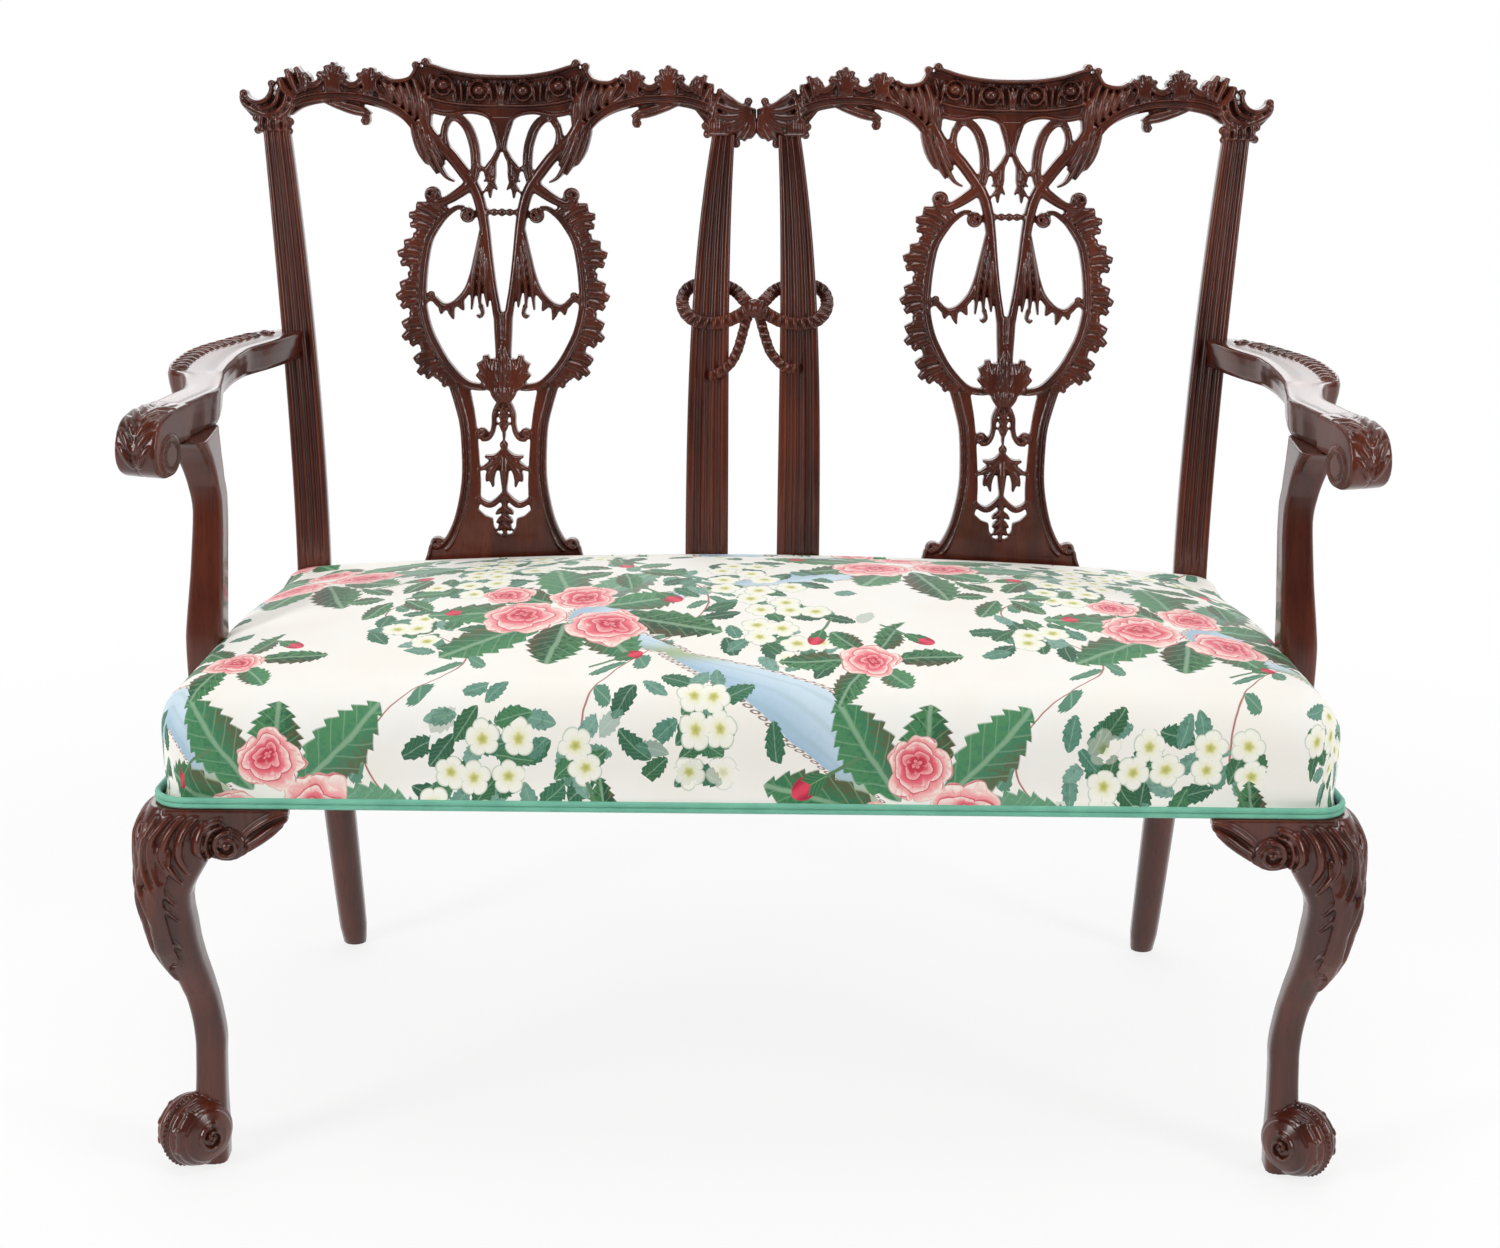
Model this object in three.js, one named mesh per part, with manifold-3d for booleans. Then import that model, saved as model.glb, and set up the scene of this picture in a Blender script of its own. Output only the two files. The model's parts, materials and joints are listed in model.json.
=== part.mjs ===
import * as THREE from "three";
import { mergeVertices } from "three/addons/utils/BufferGeometryUtils.js";
import Module from "manifold-3d";

const wasm = await Module();
wasm.setup();

// A settee whose back is two pierced and carved chair backs side by side, in mahogany,
// with a stuffed-over sprung seat on cabriole front legs. Left and right are as seen
// from the front, X runs to the right, Y to the back and Z up. Lengths are millimetres.
// The model is laid out from the floor and the centre line of the front feet, and the
// finished group is set so that its origin is below the middle of the whole piece.

// Clearance between pieces that touch, and how far a cutter runs past what it cuts
const gap = 0.3;
const overrun = 12;

// Seat frame
const seatFrontHalf = 562;
const seatRearHalf = 513.5;
const seatFrontY = -16;
const seatDepth = 523;
const railBottom = 386;
const railHeight = 72;
const railThickness = 32;
const rearRailThickness = 40;
const braceWidth = 45;
const braceHeight = 48;
const blockLeg = 62;
const blockHeight = 46;

// Back
const backShift = 0.75;
const backRake = THREE.MathUtils.degToRad(5.14);
const stileDepth = 30;
const stileFootHalf = 24;
const stileTopHalf = 12.5;
const stileFootX = 51.5;
const stileTopX = 36;
const postSeatHalf = 18.5;
const postTopHalf = 14.5;
const postLean = 30.5;
const splatRise = 7.85;
const stileFlute = 2.6;

// Rear legs
const rearLegRadius = 20;
const rearToeRadius = 15.5;
const rearLegInset = 26;
const rearLegSplay = 33;
const rearToeBevel = 5;

// Crest rails
const crestThickness = 24;
const crestHeight = 100;
const crestDrop = 23;
const crestMoulding = 9;
const crestEdge = 2.5;

// Splats
const splatHalf = 100;
const splatHeight = 500;
const splatThickness = 14;
const splatFace = 8;
const ringWidth = 9.5;
const mainStrapWidth = 13;
const thinStrapWidth = 8;
const shoeHalf = 90;
const shoeHeight = 18;
const shoeDepth = 28;
const shoeEdge = 4;

// Ribbon bow between the centre stiles
const bowHeightShare = 0.61353;
const bowSpan = 79.5;
const bowRise = 32;
const bowTailDrop = 68;
const ribbonWidth = 12;
const ribbonThickness = 6;
const ribbonPleat = 1.6;
const knotHalf = 11;
const knotEdge = 1;

// Arms and their supports
const armTop = 742;
const armThickness = 38;
const armSweep = 98.9;
const armSet = 43.9;
const armFrontY = 112;
const armEdge = 5;
const scrollRadius = 21;
const scrollWidth = 44;
const scrollTurn = THREE.MathUtils.degToRad(17);
const supportY = 172;
const supportProud = 24.43;
const supportWidth = 37;
const supportDepth = 42;
const supportSole = 402;
const screwRadius = 4;
const screwHeadRadius = 7.5;
const screwHeadThickness = 3;
const screwLength = 46;

// Front legs
const footInset = 12.5;
const legBlock = 52;
const cornerRadius = 24;
const kneeHalf = 35;
const kneeSwing = 15.5;
const footRoll = 26;
const footWidth = 42;
const footEdge = 4;
const footEye = 15;
const bracketReach = 69;
const bracketHeight = 55;
const bracketThickness = 24;
const bracketProud = 10;
const bracketEdge = 3;
const bracketVolute = 14;

// Upholstery
const coverWall = 7;
const crownRise = 76;
const edgeRise = 44;
const rearEdgeRise = 38;
const rearCornerRise = 18;
const edgeRoll = 34;
const sideSwell = 4;
const weltRadius = 2.8;
const webStrip = 50;
const webThickness = 3;
const webLap = 16;
const webColumns = 6;
const dustThickness = 1;
const dustLap = 5;
const springRadius = 38;
const springWaist = 27;
const springWire = 2;
const springTurns = 3.5;
const springHeight = 96;
const springPerRow = 4;

// Counts of sides, steps and lobes
const legSides = 12;
const bossSides = 6;
const screwSides = 6;

// Heights and planes worked out from the sizes above
const railTop = railBottom + railHeight;
const seatRearY = seatFrontY + seatDepth;
const backY = seatRearY + stileDepth / 2;
const chairCentre = (seatRearHalf - postSeatHalf + postLean + stileTopX) / 2 - backShift;
const footX = seatFrontHalf - footInset;
const weld = 1e-4;

const mahogany = { color: 0x3a1712, roughness: 0.36, metalness: 0 };
const beech = { color: 0xb98c5c, roughness: 0.7, metalness: 0 };
const chintz = { color: 0xf3ead9, roughness: 0.8, metalness: 0 };
const jade = { color: 0x5fae8b, roughness: 0.75, metalness: 0 };
const jute = { color: 0xa98a5b, roughness: 0.95, metalness: 0 };
const cotton = { color: 0xe4dcc8, roughness: 0.95, metalness: 0 };
const cambric = { color: 0x23211f, roughness: 0.95, metalness: 0 };
const steel = { color: 0x8d8f90, roughness: 0.4, metalness: 1 };

// Solids

function solidFrom(geometry) {
  const bare = geometry.clone();
  Object.keys(bare.attributes)
    .filter((name) => name !== "position")
    .forEach((name) => bare.deleteAttribute(name));
  const merged = mergeVertices(bare, weld);
  return new wasm.Manifold(
    new wasm.Mesh({
      numProp: 3,
      vertProperties: Float32Array.from(merged.attributes.position.array),
      triVerts: Uint32Array.from(merged.index.array),
    }),
  );
}

function geometryFrom(solid) {
  const { vertProperties, triVerts } = solid.getMesh();
  const geometry = new THREE.BufferGeometry();
  geometry.setAttribute("position", new THREE.BufferAttribute(Float32Array.from(vertProperties), 3));
  geometry.setIndex(new THREE.BufferAttribute(Uint32Array.from(triVerts), 1));
  geometry.computeVertexNormals();
  return geometry;
}

const join = (geometries) => geometries.map(solidFrom).reduce((whole, piece) => whole.add(piece));

const cut = (whole, cutters) => cutters.map(solidFrom).reduce((left, piece) => left.subtract(piece), whole);

// A closed skin over rings of equal counts, with a fan over each end. The faces are
// turned round where the rings run the other way, so that they always point out.
function loft(rings) {
  const count = rings[0].length;
  const points = rings.flat();
  const faces = [];
  for (let r = 0; r + 1 < rings.length; r += 1) {
    for (let i = 0; i < count; i += 1) {
      const a = r * count + i;
      const b = r * count + ((i + 1) % count);
      faces.push([a, b, a + count], [b, b + count, a + count]);
    }
  }
  [rings[0], rings.at(-1)].forEach((ring, end) => {
    const centre = ring.reduce((sum, p) => sum.add(p), new THREE.Vector3()).divideScalar(count);
    const hub = points.push(centre) - 1;
    const first = end * (rings.length - 1) * count;
    for (let i = 0; i < count; i += 1) {
      const pair = [first + i, first + ((i + 1) % count)];
      faces.push(end ? [hub, ...pair] : [hub, pair[1], pair[0]]);
    }
  });
  const volume = faces.reduce((sum, [a, b, c]) => {
    return sum + points[a].dot(new THREE.Vector3().crossVectors(points[b], points[c]));
  }, 0);
  const turned = volume < 0 ? faces.map(([a, b, c]) => [a, c, b]) : faces;
  const geometry = new THREE.BufferGeometry().setFromPoints(points);
  geometry.setIndex(turned.flat());
  return geometry;
}

// A flat board in the X-Z plane, from y = front to y = back, with its edges eased
function board(outline, front, back, ease = 0) {
  const shape = new THREE.Shape(outline.map(([x, z]) => new THREE.Vector2(x, z)));
  const geometry = new THREE.ExtrudeGeometry(shape, {
    depth: back - front - 2 * ease,
    bevelEnabled: ease > 0,
    bevelThickness: ease,
    bevelSize: ease,
    bevelOffset: -ease,
    bevelSegments: 1,
    steps: 1,
  });
  return geometry.rotateX(Math.PI / 2).translate(0, back - ease, 0);
}

// A plan outline in the X-Y plane, from z = low to z = high, with its edges eased
function slab(outline, low, high, ease = 0) {
  const shape = new THREE.Shape(outline.map(([x, y]) => new THREE.Vector2(x, y)));
  const geometry = new THREE.ExtrudeGeometry(shape, {
    depth: high - low - 2 * ease,
    bevelEnabled: ease > 0,
    bevelThickness: ease,
    bevelSize: ease,
    bevelOffset: -ease,
    bevelSegments: 1,
    steps: 1,
  });
  return geometry.translate(0, 0, low + ease);
}

function block(x0, x1, y0, y1, z0, z1) {
  const geometry = new THREE.BoxGeometry(x1 - x0, y1 - y0, z1 - z0);
  return geometry.translate((x0 + x1) / 2, (y0 + y1) / 2, (z0 + z1) / 2);
}

// A round boss in the X-Z plane, smaller in front
function boss(x, z, radius, front, back) {
  const profile = [
    [0, front],
    [radius * 0.75, front],
    [radius, back],
    [0, back],
  ];
  const lathe = new THREE.LatheGeometry(
    profile.map(([r, y]) => new THREE.Vector2(r, y)),
    bossSides,
  );
  return lathe.translate(x, 0, z);
}

// Points along a smooth line through hand-set places
const along = (places, steps) =>
  new THREE.SplineCurve(places.map(([x, z]) => new THREE.Vector2(x, z))).getSpacedPoints(steps);

// The crowned section of a carved strap: across as a share of its width, and forward
// from its back as a share of its depth
const strapSectionShares = [
  [-0.5, 0],
  [-0.28, 1],
  [0.28, 1],
  [0.5, 0],
];

// A carved strap in the X-Z plane along a line. Its width follows the width shares.
function strap(places, width, { front = -splatFace, back = splatThickness - splatFace, shares = [1, 1], steps } = {}) {
  const count = steps ?? Math.max(4, places.length - 1);
  const line = along(places, count);
  const rings = line.map((p, i) => {
    const ahead = line[Math.min(i + 1, count)];
    const behind = line[Math.max(i - 1, 0)];
    const run = ahead.clone().sub(behind).normalize();
    const slot = (i / count) * (shares.length - 1);
    const low = Math.min(Math.floor(slot), shares.length - 2);
    const wide = width * THREE.MathUtils.lerp(shares[low], shares[low + 1], slot - low);
    return strapSectionShares.map(([across, forward]) => {
      const side = across * wide;
      return new THREE.Vector3(p.x - run.y * side, back + (front - back) * forward, p.y + run.x * side);
    });
  });
  return loft(rings);
}

const mirrorX = (geometry) => {
  const turned = geometry.clone().scale(-1, 1, 1);
  const index = turned.index ? Array.from(turned.index.array) : [...Array(turned.attributes.position.count).keys()];
  for (let i = 0; i < index.length; i += 3) {
    [index[i + 1], index[i + 2]] = [index[i + 2], index[i + 1]];
  }
  turned.setIndex(index);
  return turned;
};

const bothSides = (geometries) => geometries.flatMap((geometry) => [geometry, mirrorX(geometry)]);

// Places written as shares of a width and a height, from a low line
const spread = (shares, width, height, low = 0) => shares.map(([x, z]) => [x * width, low + z * height]);

// Splats: each place is a share of the splat's half width and of its height

const ringShares = [
  [0.54, 0.802],
  [0.67, 0.782],
  [0.8, 0.742],
  [0.86, 0.694],
  [0.89, 0.636],
  [0.89, 0.592],
  [0.84, 0.544],
  [0.76, 0.506],
  [0.63, 0.462],
  [0.44, 0.422],
  [0.2, 0.41],
  [0, 0.412],
];
const ringTopShares = [
  [0.56, 0.802],
  [0.44, 0.812],
  [0.34, 0.803],
  [0.31, 0.789],
];
const mainStrapShares = [
  [0.8, 0.985],
  [0.75, 0.96],
  [0.57, 0.924],
  [0.42, 0.886],
  [0.3, 0.85],
  [0.23, 0.812],
  [0.2, 0.77],
  [0.14, 0.712],
  [0.08, 0.652],
  [0.04, 0.602],
  [0.01, 0.56],
];
const scrollShares = [
  [0.34, 0.86],
  [0.5, 0.838],
  [0.62, 0.822],
  [0.74, 0.819],
  [0.81, 0.826],
];
const innerUpperShares = [
  [0.55, 0.988],
  [0.59, 0.992],
  [0.53, 1.0],
  [0.42, 0.996],
  [0.33, 0.975],
  [0.28, 0.94],
  [0.28, 0.905],
  [0.33, 0.866],
];
const innerUpperRightShares = [
  [0.55, 0.988],
  [0.62, 0.97],
  [0.6, 0.945],
  [0.48, 0.905],
];
const innerLowerShares = [
  [0.86, 0.6],
  [0.79, 0.598],
  [0.66, 0.588],
  [0.51, 0.599],
  [0.38, 0.627],
  [0.29, 0.663],
  [0.24, 0.704],
  [0.235, 0.74],
];
const stemShares = [
  [0, 0.575],
  [0, 0.5],
];
const strapLeafShares = [
  [0.22, 0.725],
  [0.28, 0.662],
  [0.3, 0.615],
  [0.25, 0.578],
];
const crestLeafShares = [
  [0.84, 0.985],
  [0.85, 0.945],
  [0.76, 0.905],
  [0.62, 0.872],
  [0.52, 0.868],
];
const centreFrondShares = [
  [0.03, 0.985],
  [0.03, 0.945],
  [0.09, 0.915],
  [0.18, 0.888],
  [0.34, 0.866],
];
const tieShares = [
  [0.24, 0.806],
  [0.12, 0.8],
  [0.06, 0.806],
  [0, 0.8],
];
const baseEdgeShares = [
  [0.62, 0.418],
  [0.56, 0.38],
  [0.5, 0.324],
  [0.48, 0.252],
  [0.48, 0.18],
  [0.56, 0.106],
  [0.68, 0.066],
  [0.78, 0.06],
  [0.84, 0.046],
  [0.81, 0.034],
  [0.84, 0.018],
  [0.87, 0.01],
];
const windowShares = [
  [0.4, 0.402],
  [0.33, 0.36],
  [0.29, 0.316],
  [0.27, 0.234],
  [0.28, 0.17],
  [0.27, 0.136],
  [0.21, 0.12],
  [0.14, 0.112],
  [0.1, 0.096],
  [0.04, 0.086],
];
const palmetteShares = [
  [0, 0.516],
  [0.045, 0.492],
  [0.13, 0.484],
  [0.16, 0.496],
  [0.24, 0.48],
  [0.2, 0.462],
  [0.27, 0.448],
  [0.22, 0.43],
  [0.24, 0.416],
  [0.14, 0.41],
  [0.12, 0.392],
  [0.05, 0.382],
];
const threeLobeShares = [
  [0, 0.276],
  [0.07, 0.256],
  [0.21, 0.252],
  [0.19, 0.238],
  [0.27, 0.226],
  [0.25, 0.206],
  [0.16, 0.222],
  [0.17, 0.196],
  [0.11, 0.178],
  [0.06, 0.19],
];
const huskShares = [
  [0, 0.39],
  [0.09, 0.368],
  [0.12, 0.324],
  [0.17, 0.3],
  [0.27, 0.304],
];
const huskStemShares = [
  [0, 0.4],
  [0, 0.26],
];
const lowScrollShares = [
  [0.02, 0.162],
  [0.14, 0.15],
  [0.27, 0.156],
];
const budShares = [
  [0, 0.19],
  [0.035, 0.15],
  [0.075, 0.13],
  [0.07, 0.112],
  [0.05, 0.1],
  [0.03, 0.082],
];
// Each ruffle along the oval: where it leaves the ring, its tip, and where it comes back
const ruffleShares = [
  [
    [0.62, 0.8],
    [1.0, 0.79],
    [0.84, 0.752],
  ],
  [
    [0.86, 0.738],
    [1.15, 0.706],
    [0.9, 0.672],
  ],
  [
    [0.91, 0.656],
    [1.17, 0.61],
    [0.91, 0.584],
  ],
  [
    [0.85, 0.57],
    [1.1, 0.518],
    [0.76, 0.512],
  ],
  [
    [0.74, 0.496],
    [0.93, 0.442],
    [0.57, 0.44],
  ],
];
// A ruffle's jagged edge: how far along from its start to its end, and how far out to its tip
const ruffleEdgeShares = [
  [0.12, 0.6],
  [0.24, 0.84],
  [0.42, 0.76],
  [0.52, 1],
  [0.7, 0.72],
  [0.92, 0.5],
];

const splatTopShare = 0.99;
const splatLift =
  shoeHeight + 2 * gap + splatThickness * Math.sin(backRake) - baseEdgeShares.at(-1)[1] * splatHeight;
const splatTop = splatLift + splatTopShare * splatHeight;
// The splat's top stands a little higher in the crest than the posts do
const postHeight = splatTop - splatRise;
const splatLow = (share) => share * splatHeight;
const onSplat = (shares) => spread(shares, splatHalf, splatHeight);
const splatBack = splatThickness - splatFace;
const ruffleFront = -splatFace * 0.5;
const carvedFront = -splatFace * 1.3;

function ruffle([start, tip, end]) {
  const [[x0, z0], [xt, zt], [x1, z1]] = onSplat([start, tip, end]);
  const middle = [(x0 + x1) / 2, (z0 + z1) / 2];
  const edge = ruffleEdgeShares.map(([run, out]) => [
    THREE.MathUtils.lerp(x0, x1, run) + (xt - middle[0]) * out,
    THREE.MathUtils.lerp(z0, z1, run) + (zt - middle[1]) * out,
  ]);
  return board([[x0, z0], ...edge, [x1, z1]], ruffleFront, splatBack);
}

const frondShares = [0.55, 1, 0.9, 0.3];
const frond = (shares, width) => strap(onSplat(shares), width, { front: carvedFront, shares: frondShares, steps: 3 });

const closed = (half) => [...half, ...half.filter(([x]) => x > 0).map(([x, z]) => [-x, z]).reverse()];

function splatSolid() {
  const bottom = splatLow(baseEdgeShares.at(-1)[1]);
  const baseEdge = onSplat(baseEdgeShares);
  const window = onSplat(windowShares);
  const blank = board(closed(baseEdge), -splatFace * 0.6, splatBack);
  const base = geometryFrom(cut(solidFrom(blank), [board(closed(window), -splatThickness, splatThickness)]));
  const half = [
    strap(onSplat(ringShares), ringWidth, { steps: 9 }),
    strap(onSplat(ringTopShares), ringWidth, { shares: [1, 0.8], steps: 3 }),
    boss(splatHalf * 0.36, splatLow(0.782), thinStrapWidth * 0.75, carvedFront, splatBack),
    strap(onSplat(mainStrapShares), mainStrapWidth, { front: -splatFace * 1.15, shares: [1, 1, 0.8, 0.9], steps: 7 }),
    strap(onSplat(scrollShares), thinStrapWidth * 1.25, { shares: [1.2, 1, 0.8], steps: 3 }),
    boss(splatHalf * 0.8, splatLow(0.836), thinStrapWidth * 0.8, carvedFront, splatBack),
    strap(onSplat(innerUpperShares), thinStrapWidth, { steps: 6 }),
    strap(onSplat(innerUpperRightShares), thinStrapWidth, { steps: 3 }),
    strap(onSplat(innerLowerShares), thinStrapWidth, { shares: [1, 0.9, 1], steps: 6 }),
    boss(splatHalf * 0.77, splatLow(0.046), thinStrapWidth, carvedFront, splatBack),
    boss(splatHalf * 0.23, splatLow(0.308), thinStrapWidth * 0.6, carvedFront, splatBack),
    strap(onSplat(tieShares), thinStrapWidth * 0.8, { steps: 2 }),
    strap(onSplat(lowScrollShares), thinStrapWidth, { steps: 2 }),
    frond(strapLeafShares, thinStrapWidth * 1.4),
    frond(crestLeafShares, thinStrapWidth * 2.1),
    frond(centreFrondShares, thinStrapWidth),
    frond(huskShares, thinStrapWidth),
    ...ruffleShares.map(ruffle),
  ];
  const centre = [
    base,
    strap(onSplat(stemShares), mainStrapWidth * 1.25, { front: -splatFace * 1.15, steps: 1 }),
    board(closed(onSplat(palmetteShares)), carvedFront, splatBack),
    board(closed(onSplat(threeLobeShares)), carvedFront, splatBack),
    board(closed(onSplat(budShares)), -splatFace, splatBack),
    strap(onSplat(huskStemShares), thinStrapWidth * 0.9, { steps: 1 }),
  ];
  const whole = join([...centre, ...bothSides(half)]);
  const reach = 2 * splatHalf;
  return cut(whole, [
    block(-reach, reach, -splatThickness, splatThickness, bottom - splatHeight, bottom),
    block(-reach, reach, -splatThickness, splatThickness, splatLow(splatTopShare), splatLow(splatTopShare) + splatHeight),
  ]);
}

// Crest rails: places are shares of half the chair's pitch and of the crest's height

// The top edge from the outer ear to the outer shell
const crestEarTopShares = [
  [-1.018, 0.58],
  [-0.996, 0.63],
  [-0.95, 0.57],
  [-0.911, 0.62],
  [-0.893, 0.74],
  [-0.868, 0.73],
  [-0.852, 0.8],
  [-0.825, 0.85],
  [-0.782, 0.81],
  [-0.739, 0.76],
  [-0.72, 0.84],
  [-0.69, 0.88],
  [-0.654, 0.93],
  [-0.62, 0.86],
];
// The top edge from a shell to the centre of the yoke, the same on both sides
const crestYokeTopShares = [
  [-0.588, 0.76],
  [-0.55, 0.86],
  [-0.51, 0.85],
  [-0.471, 0.89],
  [-0.45, 0.82],
  [-0.393, 0.79],
  [-0.334, 0.88],
  [-0.325, 0.97],
  [-0.3, 0.96],
  [-0.279, 1],
  [-0.264, 0.93],
  [-0.196, 0.87],
  [-0.1, 0.83],
];
// The top edge from the inner shell to the seam
const crestInnerTopShares = [
  [0.62, 0.9],
  [0.65, 0.94],
  [0.68, 0.88],
  [0.705, 0.74],
  [0.735, 0.83],
  [0.79, 0.84],
  [0.82, 0.73],
  [0.84, 0.7],
  [0.87, 0.6],
  [0.93, 0.55],
  [0.96, 0.61],
  [0.985, 0.57],
];
// The underside from the seam to the splat
const crestInnerLowShares = [
  [0.985, 0.24],
  [0.95, 0.17],
  [0.932, 0.16],
];
const crestInnerArchShares = [
  [0.79, 0.3],
  [0.785, 0.38],
  [0.755, 0.47],
  [0.7, 0.52],
  [0.64, 0.49],
  [0.588, 0.43],
  [0.53, 0.46],
  [0.471, 0.51],
  [0.414, 0.43],
];
// The underside from the splat to the outer ear
const crestOuterArchShares = [
  [-0.414, 0.43],
  [-0.471, 0.51],
  [-0.53, 0.46],
  [-0.588, 0.43],
  [-0.668, 0.5],
  [-0.736, 0.54],
  [-0.793, 0.5],
  [-0.835, 0.42],
];
const crestEarShares = [
  [-0.965, 0.36],
  [-0.98, 0.46],
];
const yokePanelShares = [
  [-0.4, 0.72],
  [-0.28, 0.56],
  [-0.14, 0.49],
  [0, 0.46],
  [0.14, 0.49],
  [0.28, 0.56],
  [0.4, 0.72],
];

const shellShares = [
  [-0.655, 0.56],
  [0.655, 0.56],
];
const yokeBeadShares = [-0.18, 0, 0.18];
const crestCurlShares = [
  [-0.885, 0.72],
  [-0.31, 0.94],
  [0.31, 0.94],
  [0.95, 0.57],
  [0.945, 0.21],
];

const crestSeat = postHeight;
const crestLow = crestSeat - crestDrop;
const onCrest = (shares) => spread(shares, chairCentre, crestHeight, crestLow);
const crestFront = -crestThickness / 2;
const crestBack = crestThickness / 2;

function shell(x, z, reach, lift) {
  return [-1, 0, 1].map((lobe) => {
    const lean = lobe * 0.55;
    const tip = [x + Math.sin(lean) * reach, z + Math.cos(lean) * reach * (1 - 0.12 * lobe * lobe)];
    return strap([[x, z], tip], reach * 0.5, {
      front: crestFront - lift,
      back: 0,
      shares: [0.4, 1, 0.7],
      steps: 2,
    });
  });
}

function crestSolid() {
  const yokeHalf = splatHalf * 0.98;
  const inner = chairCentre - stileTopX;
  const outer = seatRearHalf - postSeatHalf + postLean - chairCentre;
  const seam = chairCentre - gap / 2;
  const outline = [
    ...onCrest(crestEarTopShares),
    ...onCrest(crestYokeTopShares),
    ...onCrest(crestYokeTopShares.map(([x, z]) => [-x, z]).reverse()),
    ...onCrest(crestInnerTopShares),
    [seam, crestLow + 0.56 * crestHeight],
    [seam, crestLow + 0.25 * crestHeight],
    ...onCrest(crestInnerLowShares),
    [inner + stileTopHalf, crestSeat + gap],
    [inner - stileTopHalf, crestSeat + gap],
    ...onCrest(crestInnerArchShares),
    [yokeHalf, splatTop + gap],
    [-yokeHalf, splatTop + gap],
    ...onCrest(crestOuterArchShares),
    [-outer + postTopHalf, crestSeat + gap],
    [-outer - postTopHalf, crestSeat + gap],
    ...onCrest(crestEarShares),
  ];
  const archLine = (shares) => onCrest(shares).map(([x, z]) => [x, z + crestMoulding / 2]);
  const raised = { front: crestFront - crestEdge, back: 0 };
  const curlRadius = 0.045 * crestHeight;
  return join([
    board(outline, crestFront, crestBack),
    strap(archLine(crestOuterArchShares), crestMoulding, { ...raised, steps: 7 }),
    strap(archLine(crestInnerArchShares.slice(2)), crestMoulding, { ...raised, steps: 6 }),
    strap(onCrest(yokePanelShares), crestMoulding, { ...raised, shares: [0.5, 1, 1, 0.5], steps: 6 }),
    ...shellShares.flatMap(([x, z]) => shell(x * chairCentre, crestLow + z * crestHeight, 0.33 * crestHeight, crestEdge)),
    ...yokeBeadShares.map((x) =>
      boss(x * chairCentre, crestLow + 0.69 * crestHeight, 0.09 * crestHeight, crestFront - crestEdge * 2, 0),
    ),
    ...crestCurlShares.map(([x, z]) =>
      boss(x * chairCentre, crestLow + z * crestHeight, curlRadius, crestFront - crestEdge / 2, crestBack / 2),
    ),
  ]);
}

// Rear posts and centre stiles

// A moulded stile's section, across and to the back, as shares of its half sizes. A flute
// stands at half the depth of the section's front and is set by its own size.
const fluteShares = [-0.5, 0, 0.5];
const stileSectionShares = [
  [-1, -0.7],
  [-0.85, -1],
  ...fluteShares.flatMap((x) => [
    [x - 0.16, -1],
    [x, "flute"],
    [x + 0.16, -1],
  ]),
  [0.85, -1],
  [1, -0.7],
  [1, 0.8],
  [0.85, 1],
  [-0.85, 1],
  [-1, 0.8],
];

// One ring of a stile: flat and fluted at squareness 1, round at 0
function stileRing(centre, halfX, halfY, squareness, tilt, flute, grow) {
  return stileSectionShares.map(([x, y]) => {
    const flat = new THREE.Vector2(x * (halfX + grow), y === "flute" ? flute - halfY - grow : y * (halfY + grow));
    const angle = Math.atan2(y === "flute" ? -1 : y, x);
    const round = new THREE.Vector2(Math.cos(angle), Math.sin(angle)).multiply(new THREE.Vector2(halfX + grow, halfY + grow));
    const at = round.lerp(flat, squareness);
    return new THREE.Vector3(at.x, at.y * Math.cos(tilt), -at.y * Math.sin(tilt)).add(centre);
  });
}

// A point on the raked centre plane of the back, at a height up the slope
const onBack = (x, height) =>
  new THREE.Vector3(x, backY + height * Math.sin(backRake), railTop + height * Math.cos(backRake));

const postX = (share) => seatRearHalf - postSeatHalf + postLean * share ** 1.6;
const postHalf = (share) => postSeatHalf - (postSeatHalf - postTopHalf) * share ** 3;

function postRings(side, grow = 0) {
  const toe = [0, rearToeBevel].map((z, i) => [z, rearToeRadius - (1 - i) * rearToeBevel * 0.4, 0]);
  const shaft = [0.25, 0.5, 0.75].map((share) => {
    return [share * railBottom, THREE.MathUtils.lerp(rearToeRadius, rearLegRadius, share ** 0.6), 0];
  });
  const leg = [...toe, ...shaft, [railBottom * 0.88, rearLegRadius, 0.2], [railBottom, 0, 1]];
  const lower = leg.map(([z, radius, squareness]) => {
    const share = z / railTop;
    const x = seatRearHalf - postSeatHalf - rearLegInset * (1 - share);
    const centre = new THREE.Vector3(side * x, backY + rearLegSplay * (1 - share) ** 2, z);
    return stileRing(centre, radius || postSeatHalf, radius || stileDepth / 2, squareness, 0, 0, grow);
  });
  const upper = [0, 0.1, 0.3, 0.5, 0.7, 0.85, 1].map((share) => {
    const centre = onBack(side * postX(share), share * postHeight);
    const flute = share > 0 ? stileFlute : 0;
    return stileRing(centre, postHalf(share), stileDepth / 2, 1, share > 0 ? backRake : 0, flute, grow);
  });
  return [...lower, ...upper];
}

function centreStileRings(side) {
  return [0, 0.06, 0.3, 0.5, 0.7, 0.85, 1].map((share) => {
    const height = gap + share * (postHeight - gap);
    const x = stileFootX - (stileFootX - stileTopX) * share ** 3.6;
    const half = stileFootHalf - (stileFootHalf - stileTopHalf) * share ** 2.5;
    return stileRing(onBack(side * x, height), half, stileDepth / 2, 1, share > 0 ? backRake : 0, stileFlute, 0);
  });
}

// Ribbon bow, in the plane of the back: across as a share of the bow's half span, up as a
// share of its rise, and to the back as a share of the way clear of a stile

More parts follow.
